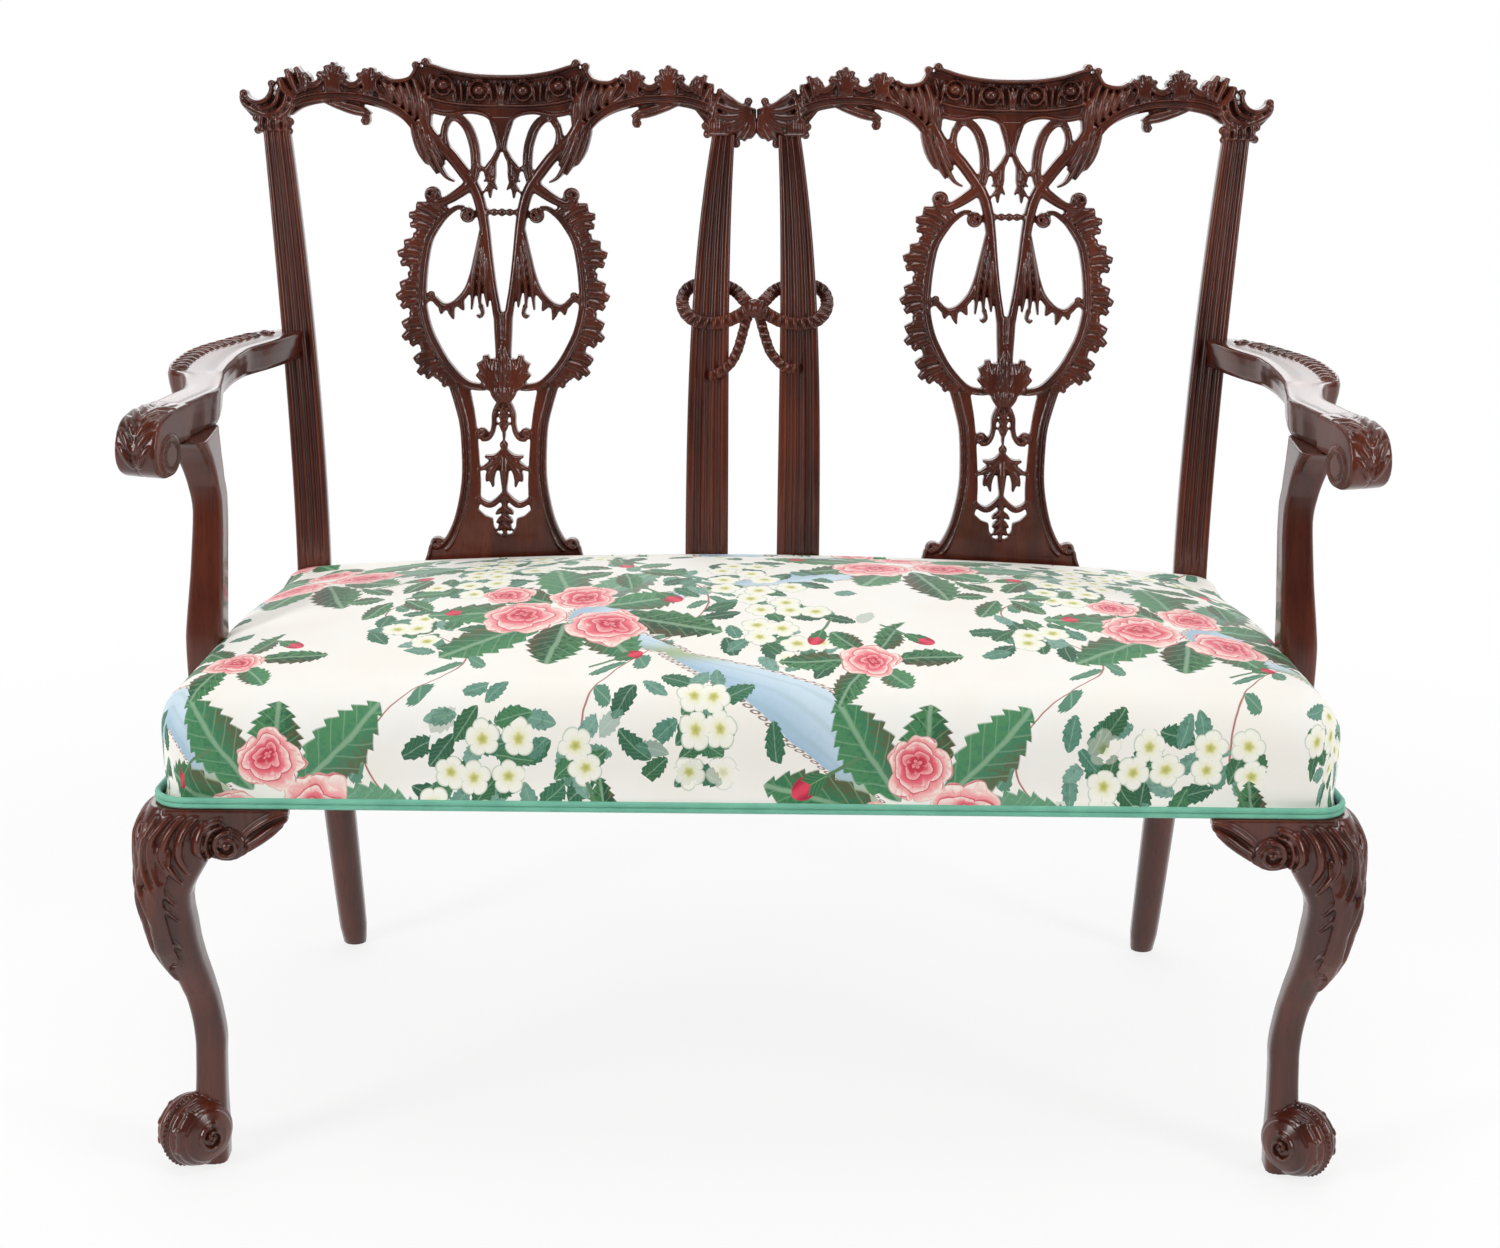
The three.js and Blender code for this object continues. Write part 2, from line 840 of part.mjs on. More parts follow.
const loopShares = [
  [-0.09, 0.08, -0.9],
  [-0.17, 0.32, -0.3],
  [-0.26, 0.58, 0.7],
  [-0.38, 0.8, 1],
  [-0.57, 0.95, 1],
  [-0.75, 0.96, 1],
  [-0.88, 0.86, 1],
  [-0.965, 0.6, 0.85],
  [-1, 0.25, 0],
  [-0.965, -0.1, -0.85],
  [-0.86, -0.33, -1],
  [-0.67, -0.41, -1],
  [-0.48, -0.41, -1],
  [-0.31, -0.3, -1],
  [-0.17, -0.12, -1],
  [-0.08, -0.04, -0.9],
];
// Tails hang by shares of their own drop
const leftTailShares = [
  [-0.09, -0.12],
  [-0.14, -0.32],
  [-0.19, -0.55],
  [-0.28, -0.76],
  [-0.43, -0.93],
  [-0.6, -1.03],
];
const rightTailShares = [
  [0.07, -0.12],
  [0.12, -0.34],
  [0.17, -0.55],
  [0.25, -0.73],
  [0.4, -0.86],
  [0.55, -0.9],
];
const bowClear = stileDepth / 2 + ribbonThickness / 2 + ribbonPleat + gap;

// A pleated ribbon: a flat band that is thicker at every other ring
function ribbon(places, steps, shares) {
  const line = new THREE.CatmullRomCurve3(places).getSpacedPoints(steps);
  const rings = line.map((p, i) => {
    const run = line[Math.min(i + 1, steps)].clone().sub(line[Math.max(i - 1, 0)]);
    const flat = new THREE.Vector2(run.x, run.z).normalize();
    const gather = i < 2 || i > steps - 2 ? shares[i < 2 ? 0 : 1] : 1;
    const half = (ribbonWidth / 2) * gather;
    const thick = ribbonThickness / 2 + (i % 2 ? ribbonPleat : 0);
    return [
      [-half, -thick * 0.6],
      [-half * 0.5, -thick],
      [half * 0.5, -thick],
      [half, -thick * 0.6],
      [half, thick * 0.6],
      [-half, thick * 0.6],
    ].map(([across, out]) => new THREE.Vector3(p.x - flat.y * across, p.y + out, p.z + flat.x * across));
  });
  return loft(rings);
}

const knotSolid = (grow) =>
  board(
    [
      [-1, -0.35],
      [-0.55, -0.85],
      [0.45, -0.85],
      [1, -0.3],
      [0.9, 0.5],
      [0.4, 1],
      [-0.5, 1],
      [-1, 0.5],
    ].map(([x, z]) => [x * (knotHalf + grow), z * (knotHalf + grow)]),
    -bowClear - ribbonThickness * 0.9 - grow,
    ribbonThickness * 0.2 + grow,
    knotEdge,
  );

function ribbonSolid(shares, rise, steps, gathers) {
  const places = shares.map(([x, z, y = -1]) => new THREE.Vector3(x * bowSpan, y * bowClear, z * rise));
  return cut(solidFrom(ribbon(places, steps, gathers)), [knotSolid(gap)]);
}

// Arms: plan places, out from the post's outer face as a share of the way to the widest
// line, and forward from the scroll to the front of the post as a share of that length

const armOuterShares = [
  [0.08, 1.1],
  [0.31, 1.02],
  [0.57, 0.904],
  [0.76, 0.803],
  [0.845, 0.691],
  [0.865, 0.595],
  [0.79, 0.48],
  [0.65, 0.445],
  [0.55, 0.372],
  [0.5, 0.276],
  [0.57, 0.2],
  [0.66, 0.122],
];
const armInnerShares = [
  [0.36, 0.1],
  [0.26, 0.144],
  [0.12, 0.25],
  [0.165, 0.397],
  [0.235, 0.519],
  [0.25, 0.623],
  [0.225, 0.732],
  [0.16, 0.83],
  [-0.035, 0.95],
  [-0.17, 1.04],
  [-0.17, 1.1],
];
// The scroll's side view: forward and up from its eye, as shares of its radius
const armScrollShares = [
  [-3.2, 2],
  [-0.95, 2],
  [0, 1.95],
  [0.86, 1.62],
  [1.38, 0.86],
  [1.48, 0.1],
  [1.2, -0.57],
  [0.57, -0.93],
  [0, -1],
  [-0.67, -0.76],
  [-1, -0.1],
  [-0.9, 0.5],
  [-1.5, 0.76],
  [-3.2, 0.62],
];
// How far out the scroll's eye stands, between the post's face and the widest line
const armScrollShare = 0.68;
const armShare = (armTop - railTop) / Math.cos(backRake) / postHeight;
const armFace = postX(armShare) + postHalf(armShare);
const armBackY = onBack(0, armShare * postHeight).y - stileDepth / 2;
// The line that the arm's plan is laid out from: the post's outer face behind, and in front
// a line set in from the support's
const armLine = (run) => THREE.MathUtils.lerp(supportOuter - armSet, armFace, run);
const onArm = (shares, side) =>
  shares.map(([out, run]) => [
    side * (armLine(run) + out * armSweep),
    THREE.MathUtils.lerp(armFrontY, armBackY, run),
  ]);

function armSolid(side) {
  const outline = onArm([...armOuterShares, ...armInnerShares], side);
  const body = slab(side < 0 ? outline.reverse() : outline, armTop - armThickness, armTop, armEdge);
  const profile = armScrollShares.map(([run, up]) => [run * scrollRadius, up * scrollRadius]);
  const eye = new THREE.Vector3(
    side * (armLine(0) + armScrollShare * armSweep),
    armFrontY,
    armTop - 2 * scrollRadius,
  );
  const place = (geometry) => geometry.rotateZ(-Math.PI / 2 + side * scrollTurn).translate(eye.x, eye.y, eye.z);
  const scroll = place(board(profile, -scrollWidth / 2, scrollWidth / 2, armEdge / 2));
  const button = place(boss(0, 0, scrollRadius * 0.45, -scrollWidth / 2 - armEdge / 2, scrollWidth / 2 + armEdge / 2));
  return cut(join([body, scroll, button]), [loft(postRings(side, gap))]);
}

// Arm supports: up as a share of the height, outward and to the back as shares of the
// width and depth, and the half width and half depth as shares too
const supportShares = [
  [0, 0, 0, 0.5, 0.5],
  [0.33, 0, 0, 0.52, 0.5],
  [0.55, -0.12, 0.1, 0.45, 0.48],
  [0.75, -0.2, 0.19, 0.41, 0.48],
  [0.88, -0.14, 0.2, 0.42, 0.56],
  [0.96, 0.02, 0.14, 0.46, 0.8],
  [1, 0.13, 0.05, 0.5, 1.08],
];
const roundedShares = [
  [1, 0.7],
  [0.75, 1],
  [-0.75, 1],
  [-1, 0.7],
  [-1, -0.7],
  [-0.75, -1],
  [0.75, -1],
  [1, -0.7],
];

function supportLoft(side, grow = 0) {
  const top = armTop - armThickness - gap;
  return loft(
    supportShares.map(([up, out, back, halfX, halfY], i) => {
      const end = i === 0 ? -grow : i === supportShares.length - 1 ? grow : 0;
      const x = supportOuter - supportWidth / 2 + out * supportWidth;
      return roundedShares.map(([a, b]) => {
        return new THREE.Vector3(
          side * (x + a * (halfX * supportWidth + grow)),
          supportY + back * supportDepth + b * (halfY * supportDepth + grow),
          THREE.MathUtils.lerp(supportSole, top, up) + end,
        );
      });
    }),
  );
}

// Seat rails

// How far out the side rail's outer face is at a distance to the back
const sideFace = (y) => THREE.MathUtils.lerp(seatFrontHalf, seatRearHalf, (y - seatFrontY) / seatDepth);
const supportOuter = sideFace(supportY) + supportProud;
const sideTurn = Math.atan2(seatFrontHalf - seatRearHalf, seatDepth);
const legRear = seatFrontY + legBlock + gap;
const sideInner = (y) => sideFace(y) - railThickness / Math.cos(sideTurn);

function screwGeometry(side, height, grow = 0) {
  const profile = [
    [0, -screwHeadThickness - grow],
    [screwHeadRadius + grow, -screwHeadThickness - grow],
    [screwHeadRadius + grow, grow ? gap : 0],
    [screwRadius + grow, grow ? gap : 0],
    [screwRadius + grow, screwLength - screwRadius],
    [screwRadius * 0.3, screwLength + grow],
    [0, screwLength + grow],
  ];
  const lathe = new THREE.LatheGeometry(
    profile.map(([r, y]) => new THREE.Vector2(r, y)),
    screwSides,
  );
  return lathe
    .rotateZ(-side * (Math.PI / 2 - sideTurn))
    .translate(side * (sideInner(supportY) - gap), supportY, railBottom + height);
}
const screwHeights = [railHeight * 0.3, railHeight * 0.72];

const legSquare = (grow) => {
  const x0 = seatFrontHalf + grow;
  const y0 = seatFrontY - grow;
  const size = legBlock + 2 * grow;
  const corner = [0, 1, 2, 3, 4].map((i) => {
    const angle = (i / 4) * (Math.PI / 2);
    return [x0 - cornerRadius + cornerRadius * Math.cos(angle), y0 + cornerRadius - cornerRadius * Math.sin(angle)];
  });
  return [[x0 - size, y0], [x0 - size, y0 + size], [sideFace(y0 + size) + grow, y0 + size], ...corner];
};

const onSide = (outline, side) => outline.map(([x, y]) => [side * x, y]);

function legBlockGeometry(side, low, high, grow = 0) {
  return slab(onSide(legSquare(grow), side), low, high);
}

// Front legs: height, swing outward from the foot's centre line and half width, as
// shares of the leg's height, of the knee's swing and of the knee's half width
const legShares = [
  [0, -0.4, 0.7],
  [0.078, -0.6, 0.6],
  [0.18, -0.88, 0.46],
  [0.29, -0.97, 0.43],
  [0.337, -1, 0.44],
  [0.409, -0.84, 0.435],
  [0.482, -0.5, 0.46],
  [0.596, 0.26, 0.57],
  [0.668, 0.6, 0.63],
  [0.77, 0.86, 0.7],
  [0.865, 0.3, 0.97],
  [0.933, 0.13, 1.05],
  [1, -0.16, 1],
];
const legHeight = railBottom - gap;

function cabriole(side, grow = 0) {
  return loft(
    legShares.map(([up, swing, half], level) => {
      const end = level === legShares.length - 1 ? grow : level === 0 ? -grow : 0;
      const reach = half * kneeHalf + grow;
      return Array.from({ length: legSides }, (_, i) => {
        const angle = (i / legSides) * 2 * Math.PI;
        const square = (value) => Math.sign(value) * Math.abs(value) ** 0.55;
        return new THREE.Vector3(
          side * (footX + swing * kneeSwing) + reach * square(Math.cos(angle)),
          -swing * kneeSwing + reach * square(Math.sin(angle)),
          up * legHeight + end,
        );
      });
    }),
  );
}

// The scroll foot's side view along the diagonal: forward as a share of the roll, up as a
// share of the roll
const footShares = [
  [-0.8, 0],
  [0.55, 0],
  [0.86, 0.25],
  [1, 0.8],
  [1, 1.5],
  [0.84, 2.2],
  [0.5, 2.8],
  [0.12, 3.3],
  [-0.2, 3.75],
  [-0.4, 4.1],
  [-0.9, 4.1],
];

function frontLegSolid(side) {
  const place = (geometry) => geometry.rotateZ(-side * (Math.PI / 4)).translate(side * footX, 0, 0);
  const outline = footShares.map(([run, up]) => [run * footRoll, up * footRoll]);
  const roll = (half, swell) =>
    board(
      outline.map(([run, up]) => [side * run * swell, up * swell ** 0.5]),
      -half,
      half,
      footEdge / 2,
    );
  const faces = boss(side * footRoll * 0.05, footRoll * 1.35, footEye, -footWidth / 2 - footEdge / 2, footWidth / 2 + footEdge / 2);
  const eye = boss(side * footRoll * 0.05, footRoll * 1.35, footEye * 0.4, -footWidth / 2 - footEdge, footWidth / 2 + footEdge);
  const foot = [roll(footWidth / 2, 1), roll(footWidth / 7, 1.08), faces, eye].map(place);
  return join([cabriole(side), legBlockGeometry(side, legHeight - footEdge, railTop), ...foot]);
}

// Knee brackets: along the rail from the leg block, and down from the rail
const bracketShares = [
  [-0.44, 0],
  [1, 0],
  [1, -0.14],
  [0.92, -0.4],
  [0.72, -0.58],
  [0.52, -0.78],
  [0.45, -0.92],
  [0.29, -1],
  [0.13, -0.96],
  [-0.1, -0.98],
  [-0.2, -1.06],
  [-0.44, -1.06],
];

// A bracket in its own place: X along the rail, its front towards -Y
function bracketParts() {
  const outline = bracketShares.map(([x, z]) => [x * bracketReach, z * bracketHeight]);
  const centre = [bracketReach * 0.27, -bracketHeight * 0.64];
  const back = bracketThickness - bracketProud;
  return [
    board(outline, -bracketProud, back, bracketEdge),
    boss(...centre, bracketVolute, -bracketProud - bracketEdge, 0),
    boss(...centre, bracketVolute * 0.5, -bracketProud - bracketEdge * 2, 0),
    strap(
      [
        [bracketReach * 0.96, -bracketHeight * 0.1],
        [bracketReach * 0.7, -bracketHeight * 0.36],
        [bracketReach * 0.5, -bracketHeight * 0.42],
      ],
      bracketVolute * 0.7,
      { front: -bracketProud - bracketEdge, back: 0, shares: [0.4, 1, 0.6] },
    ),
  ];
}

function frontBracketSolid(side) {
  const legFace = seatFrontHalf - legBlock;
  const parts = bracketParts().map((part) => {
    const placed = side < 0 ? part : mirrorX(part);
    return placed.translate(side * (legFace + gap), seatFrontY, legHeight);
  });
  return cut(join(parts), [cabriole(side, gap), legBlockGeometry(side, 0, railTop + overrun, gap)]);
}

function sideBracketSolid(side) {
  const start = seatFrontY + legBlock;
  const parts = bracketParts().map((part) => {
    const placed = side < 0 ? mirrorX(part) : part;
    return placed
      .rotateZ(side * (Math.PI / 2 + sideTurn))
      .translate(side * sideFace(start), start + gap, legHeight);
  });
  return cut(join(parts), [cabriole(side, gap), legBlockGeometry(side, 0, railTop + overrun, gap)]);
}

// Upholstery. The seat's plan is the rails' outer line, let out or in by an offset.

// One ring of the seat's plan at an inset from its edge, from the front left corner round
function seatRing(out, inset, height) {
  const half = (y) => sideFace(y) + out;
  const front = seatFrontY - out + inset;
  const rear = seatRearY - coverWall / 2 + Math.min(out, 0) - inset * 0.5;
  const radius = Math.max(cornerRadius + out - inset * 0.5, 2 * coverWall);
  const side = (y) => half(y) - inset;
  const corner = [0, 0.25, 0.5, 0.75, 1].map((turn) => {
    const angle = turn * (Math.PI / 2);
    return [side(front) - radius * (1 - Math.sin(angle)), front + radius * (1 - Math.cos(angle))];
  });
  const flank = [0.3, 0.5, 0.7, 0.85, 1].map((run) => {
    const y = THREE.MathUtils.lerp(front + radius, rear, run);
    return [side(y), y];
  });
  const middle = [0.7, 0.4, 0];
  const right = [
    ...middle.map((share) => [share * (side(front) - radius), front]).reverse(),
    ...corner,
    ...flank,
    ...middle.slice(0, 2).map((share) => [share * side(rear), rear]),
  ];
  const left = right.slice(1).map(([x, y]) => [-x, y]).reverse();
  return [...right, [0, rear], ...left].map(([x, y]) => new THREE.Vector3(x, y, height(x, y)));
}

// How high the stuffed top stands over the rails at a plan place
function crown(x, y) {
  const across = Math.min(1, Math.abs(x) / sideFace(y));
  const run = THREE.MathUtils.clamp((y - seatFrontY) / seatDepth, 0, 1);
  const rear = THREE.MathUtils.lerp(rearEdgeRise, rearCornerRise, across ** 2);
  const edge = THREE.MathUtils.lerp(edgeRise, rear, THREE.MathUtils.smoothstep(run, 0.45, 1));
  return edge + (crownRise - edgeRise) * (1 - across ** 2) * (1 - (2 * run - 1) ** 2);
}

// The seat's stuffed shape, let out from the rails, with its top dropped by a wall
function cushion(out, drop, low, swell) {
  const sideTop = railTop + gap;
  const level = (z) => () => z;
  const rings = [
    seatRing(out, 0, level(low)),
    seatRing(out, 0, level(railBottom + 4 * weltRadius)),
    seatRing(out + swell, 0, level((railBottom + sideTop) / 2)),
    seatRing(out + swell, 0, level(sideTop)),
  ];
  [25, 50, 75].forEach((degrees) => {
    const angle = THREE.MathUtils.degToRad(degrees);
    const inset = edgeRoll * (1 - Math.cos(angle));
    const height = (x, y) => sideTop + (railTop + crown(x, y) - drop - sideTop) * Math.sin(angle);
    rings.push(seatRing(out + swell * Math.cos(angle), inset, height));
  });
  const reach = seatDepth / 2;
  [0.15, 0.42, 0.8].forEach((share) => {
    const inset = edgeRoll + share * (reach - edgeRoll);
    rings.push(seatRing(out, inset, (x, y) => railTop + crown(x, y) - drop));
  });
  return loft(rings);
}

// Two long strips of webbing from side to side, and cross strips that run from front to
// rear between the side rails and between the legs
const rearFront = seatRearY + stileDepth - rearRailThickness;
const webRows = [0.28, 0.74].map((share) => THREE.MathUtils.lerp(seatFrontY, rearFront, share));
const lastWeb = Math.min(sideInner(rearFront), seatFrontHalf - legBlock) - webStrip;
const webPlaces = Array.from({ length: webColumns }, (_, i) => THREE.MathUtils.lerp(-lastWeb, lastWeb, i / (webColumns - 1)));

function netSolid() {
  const low = railBottom - gap - webThickness;
  const front = seatFrontY + railThickness - webLap;
  const rear = rearFront + webLap;
  const long = webRows.map((y) => {
    const half = sideInner(y + webStrip / 2) + webLap;
    return block(-half, half, y - webStrip / 2, y + webStrip / 2, low, low + webThickness);
  });
  const cross = webPlaces.map((x) => block(x - webStrip / 2, x + webStrip / 2, front, rear, low, low + webThickness));
  return join([...long, ...cross]);
}

// A waisted coil spring standing on the webbing, four sides round and eight steps a turn
const coilSteps = 8;
const coilSides = 4;

function springLine() {
  const steps = springTurns * coilSteps;
  return Array.from({ length: steps + 1 }, (_, i) => {
    const share = i / steps;
    const radius = THREE.MathUtils.lerp(springWaist, springRadius, (2 * share - 1) ** 2) - springWire;
    const angle = (i / coilSteps) * 2 * Math.PI;
    const height = springWire + (springHeight - 2 * springWire) * share;
    return new THREE.Vector3(radius * Math.cos(angle), radius * Math.sin(angle), height);
  });
}

function springGeometry() {
  return loft(
    springLine().map((p) => {
      const out = new THREE.Vector3(p.x, p.y, 0).normalize();
      return Array.from({ length: coilSides }, (_, i) => {
        const angle = (i / coilSides) * 2 * Math.PI;
        const ring = out.clone().multiplyScalar(Math.cos(angle) * springWire);
        return ring.add(p).add(new THREE.Vector3(0, 0, Math.sin(angle) * springWire));
      });
    }),
  );
}

function springGap() {
  const line = springLine();
  let least = Infinity;
  line.forEach((p, i) => {
    line.slice(i + coilSteps - 1).forEach((q) => {
      least = Math.min(least, p.distanceTo(q) - 2 * springWire);
    });
  });
  return least;
}
console.log("least gap between the turns of a spring: " + springGap().toFixed(2) + " mm");

// The section of two cords sewn one above the other, out and up as shares of a cord's radius
const weltSectionShares = [
  [0, 0],
  [1, 1],
  [0.35, 1.95],
  [1, 2.9],
  [0, 3.9],
  [-1, 2.9],
  [-0.35, 1.95],
  [-1, 1],
];

// The double welt's line round the cover's lower edge, from rear post to rear post
function weltLine(out) {
  const rear = seatRearY - coverWall / 2;
  const ring = seatRing(out, 0, () => 0).filter((p) => p.y < rear - coverWall);
  const right = ring.filter((p) => p.x >= 0);
  const left = ring.filter((p) => p.x < 0);
  const end = (side) => new THREE.Vector3(side * (sideFace(rear) + out), rear, 0);
  return [end(-1), ...left, ...right, end(1)];
}

function weltGeometry() {
  const line = weltLine(coverWall + 2 * gap + weltRadius);
  return loft(
    line.map((p, i) => {
      const ahead = line[Math.min(i + 1, line.length - 1)];
      const behind = line[Math.max(i - 1, 0)];
      const run = ahead.clone().sub(behind).normalize();
      return weltSectionShares.map(([out, up]) => {
        const across = out * weltRadius;
        return new THREE.Vector3(p.x + run.y * across, p.y - run.x * across, railBottom + up * weltRadius);
      });
    }),
  );
}

// Assembly

const settee = new THREE.Group();
const frame = new THREE.Group();
const back = new THREE.Group();
back.position.set(0, backY, railTop);
back.rotation.x = -backRake;
frame.add(back);
settee.add(frame);

function add(name, shape, finish, parent = frame) {
  const geometry = shape.isBufferGeometry ? shape : geometryFrom(shape);
  const mesh = new THREE.Mesh(geometry, new THREE.MeshStandardMaterial(finish));
  mesh.name = name;
  parent.add(mesh);
  return mesh;
}

const sides = [
  ["left", -1],
  ["right", 1],
];
const posts = sides.map(([, side]) => loft(postRings(side, gap)));
const supportsGrown = sides.map(([, side]) => supportLoft(side, gap));

const crest = geometryFrom(crestSolid());
const splat = geometryFrom(splatSolid());

sides.forEach(([hand, side], i) => {
  add("front_leg_" + hand, frontLegSolid(side), mahogany);
  add("knee_bracket_front_" + hand, frontBracketSolid(side), mahogany);
  add("knee_bracket_side_" + hand, sideBracketSolid(side), mahogany);
  add("rear_post_" + hand, loft(postRings(side)), mahogany);
  add("centre_stile_" + hand, loft(centreStileRings(side)), mahogany);
  add("crest_rail_" + hand, side < 0 ? crest : mirrorX(crest), mahogany, back).position.x = side * chairCentre;
  add("splat_" + hand, side < 0 ? splat : mirrorX(splat), mahogany, back).position.set(side * chairCentre, 0, splatLift);
  const shoe = [
    [-shoeDepth / 2, gap],
    [shoeDepth / 2, gap],
    [shoeDepth / 2, shoeHeight],
    [-shoeDepth / 2 + shoeEdge * 2, shoeHeight],
    [-shoeDepth / 2, shoeHeight - shoeEdge * 2],
  ];
  const shoeShape = new THREE.Shape(shoe.map(([y, z]) => new THREE.Vector2(y, z)));
  const shoeBody = new THREE.ExtrudeGeometry(shoeShape, { depth: 2 * shoeHalf, bevelEnabled: false })
    .rotateY(Math.PI / 2)
    .rotateX(Math.PI / 2)
    .translate(-shoeHalf + side * chairCentre, backY, railTop);
  add("splat_shoe_" + hand, shoeBody, mahogany);
  add("arm_" + hand, armSolid(side), mahogany);
  const screws = screwHeights.map((height) => screwGeometry(side, height));
  const screwHoles = screwHeights.map((height) => screwGeometry(side, height, gap));
  const railOutline = [
    [sideFace(legRear), legRear],
    [sideFace(seatRearY), seatRearY + 2 * gap],
    [sideInner(seatRearY), seatRearY + 2 * gap],
    [sideInner(legRear), legRear],
  ];
  const railBlank = slab(onSide(railOutline, side), railBottom, railTop);
  const railCut = cut(solidFrom(railBlank), [posts[i], ...screwHoles]);
  add("seat_rail_" + hand, railCut, beech);
  const railGrown = slab(
    onSide(
      [
        [sideFace(seatFrontY) + gap, seatFrontY],
        [sideFace(seatRearY) + gap, seatRearY],
        [sideInner(seatRearY), seatRearY],
        [sideInner(seatFrontY), seatFrontY],
      ],
      side,
    ),
    0,
    railTop + gap,
  );
  add("arm_support_" + hand, cut(solidFrom(supportLoft(side)), [railGrown, ...screwHoles]), mahogany);
  screws.forEach((screw, n) => add("arm_screw_" + hand + "_" + (n + 1), screw, steel));
});

const grownPieces = [...posts, ...supportsGrown];
const rearReach = seatRearHalf - postSeatHalf;
add(
  "seat_rail_rear",
  cut(solidFrom(block(-rearReach, rearReach, rearFront, seatRearY + stileDepth, railBottom, railTop)), [
    ...posts,
    block(-seatFrontHalf, -rearReach + postSeatHalf - gap, -overrun, seatRearY + 3 * gap, 0, 2 * railTop),
    block(rearReach - postSeatHalf + gap, seatFrontHalf, -overrun, seatRearY + 3 * gap, 0, 2 * railTop),
  ]),
  mahogany,
);
const frontReach = seatFrontHalf - legBlock - gap;
add("seat_rail_front", block(-frontReach, frontReach, seatFrontY, seatFrontY + railThickness, railBottom, railTop), beech);
const frontInner = seatFrontY + railThickness + gap;
add(
  "seat_brace",
  block(-braceWidth / 2, braceWidth / 2, frontInner, rearFront - gap, railBottom, railBottom + braceHeight),
  beech,
);

sides.forEach(([hand, side]) => {
  const edge = (y) => sideInner(y) - gap;
  const legGrown = legBlockGeometry(side, 0, railTop + overrun, gap);
  const frontStart = edge(frontInner) - legBlock / 2;
  const front = [
    [frontStart, frontInner],
    [frontStart - blockLeg, frontInner],
    [edge(frontInner + legBlock / 2 + blockLeg), frontInner + legBlock / 2 + blockLeg],
    [edge(frontInner + legBlock / 2), frontInner + legBlock / 2],
  ];
  const rearLine = rearFront - gap;
  const rear = [
    [edge(rearLine), rearLine],
    [edge(rearLine - blockLeg), rearLine - blockLeg],
    [edge(rearLine) - blockLeg, rearLine],
  ];
  const high = railTop - railHeight / 8;
  const low = high - blockHeight;
  add("corner_block_front_" + hand, cut(solidFrom(slab(onSide(front, side), low, high)), [legGrown]), beech);
  add("corner_block_rear_" + hand, slab(onSide(rear, side), low, high), beech);
});

add("webbing", netSolid(), jute);
const spring = springGeometry();
const springPlaces = webPlaces.slice(1, 1 + springPerRow);
webRows.forEach((y, row) => {
  springPlaces.forEach((x, i) => {
    add("coil_spring_" + (row * springPerRow + i + 1), spring, steel).position.set(x, y, railBottom);
  });
});

const pocketTop = railBottom + springHeight + gap;
const pocketRear = rearFront - railThickness / 2;
const pocket = slab(
  [
    [-sideInner(frontInner), frontInner],
    [sideInner(frontInner), frontInner],
    [sideInner(pocketRear), pocketRear],
    [-sideInner(pocketRear), pocketRear],
  ],
  0,
  pocketTop,
);
const below = block(-2 * seatFrontHalf, 2 * seatFrontHalf, -seatDepth, 2 * seatDepth, 0, railTop + gap);
add(
  "seat_stuffing",
  cut(solidFrom(cushion(0, coverWall + gap, railBottom, 0)), [below, pocket, ...grownPieces]),
  cotton,
);
const rearClear = block(
  -2 * seatFrontHalf,
  2 * seatFrontHalf,
  rearFront - gap,
  2 * seatDepth,
  0,
  railTop + gap,
);
add(
  "seat_cover",
  cut(solidFrom(cushion(coverWall + gap, 0, railBottom, sideSwell)), [
    cushion(gap, coverWall, railBottom - overrun, 0),
    rearClear,
    ...grownPieces,
  ]),
  chintz,
);
add("double_welt", cut(solidFrom(weltGeometry()), supportsGrown), jade);

// The dust cover laps past the ends of the webbing and goes round the leg blocks
const dustTop = railBottom - 2 * gap - webThickness;
const dustHalf = sideInner(rearFront) + webLap + dustLap;
const dustFront = seatFrontY + railThickness - webLap - dustLap;
const dustRear = rearFront + webLap + dustLap;
const dustRearHalf = seatRearHalf - 2 * postSeatHalf - dustLap;
const dustCorner = seatFrontY + legBlock + dustLap;
const dustFrontHalf = frontReach - bracketReach;
const dustSide = sideInner(dustCorner + bracketReach) + webLap + dustLap;
const dustOutline = [
  [dustFrontHalf, dustFront],
  [dustFrontHalf, dustCorner],
  [dustSide - railThickness, dustCorner + bracketReach],
  [dustSide, dustCorner + bracketReach],
  [dustHalf, seatRearY - dustLap],
  [dustRearHalf, seatRearY - dustLap],
  [dustRearHalf, dustRear],
];
const dustMirror = dustOutline.map(([x, y]) => [-x, y]).reverse();
add("dust_cover", slab([...dustOutline, ...dustMirror], dustTop - dustThickness, dustTop), cambric);

// The ribbon bow
const bow = new THREE.Group();
bow.position.z = bowHeightShare * postHeight;
back.add(bow);
const loop = ribbonSolid(loopShares, bowRise, 24, [0.6, 0.6]);
add("ribbon_loop_left", loop, mahogany, bow);
add("ribbon_loop_right", mirrorX(geometryFrom(loop)), mahogany, bow);
add("ribbon_knot", knotSolid(0), mahogany, bow);
add("ribbon_tail_left", ribbonSolid(leftTailShares, bowTailDrop, 12, [0.6, 1]), mahogany, bow);
add("ribbon_tail_right", ribbonSolid(rightTailShares, bowTailDrop, 12, [0.6, 1]), mahogany, bow);

// The origin goes below the middle of the whole piece
frame.updateMatrixWorld(true);
const reach = new THREE.Box3().setFromObject(frame, true);
const centre = reach.getCenter(new THREE.Vector3());
frame.position.set(-centre.x, -centre.y, -reach.min.z);

export default settee;
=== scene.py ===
"""Builds the look of a chair-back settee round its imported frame: carved wood, printed seat, trimmings."""

import json
import math

import bmesh
import bpy
from bpy.props import FloatProperty, FloatVectorProperty, PointerProperty
from mathutils import Matrix, Vector


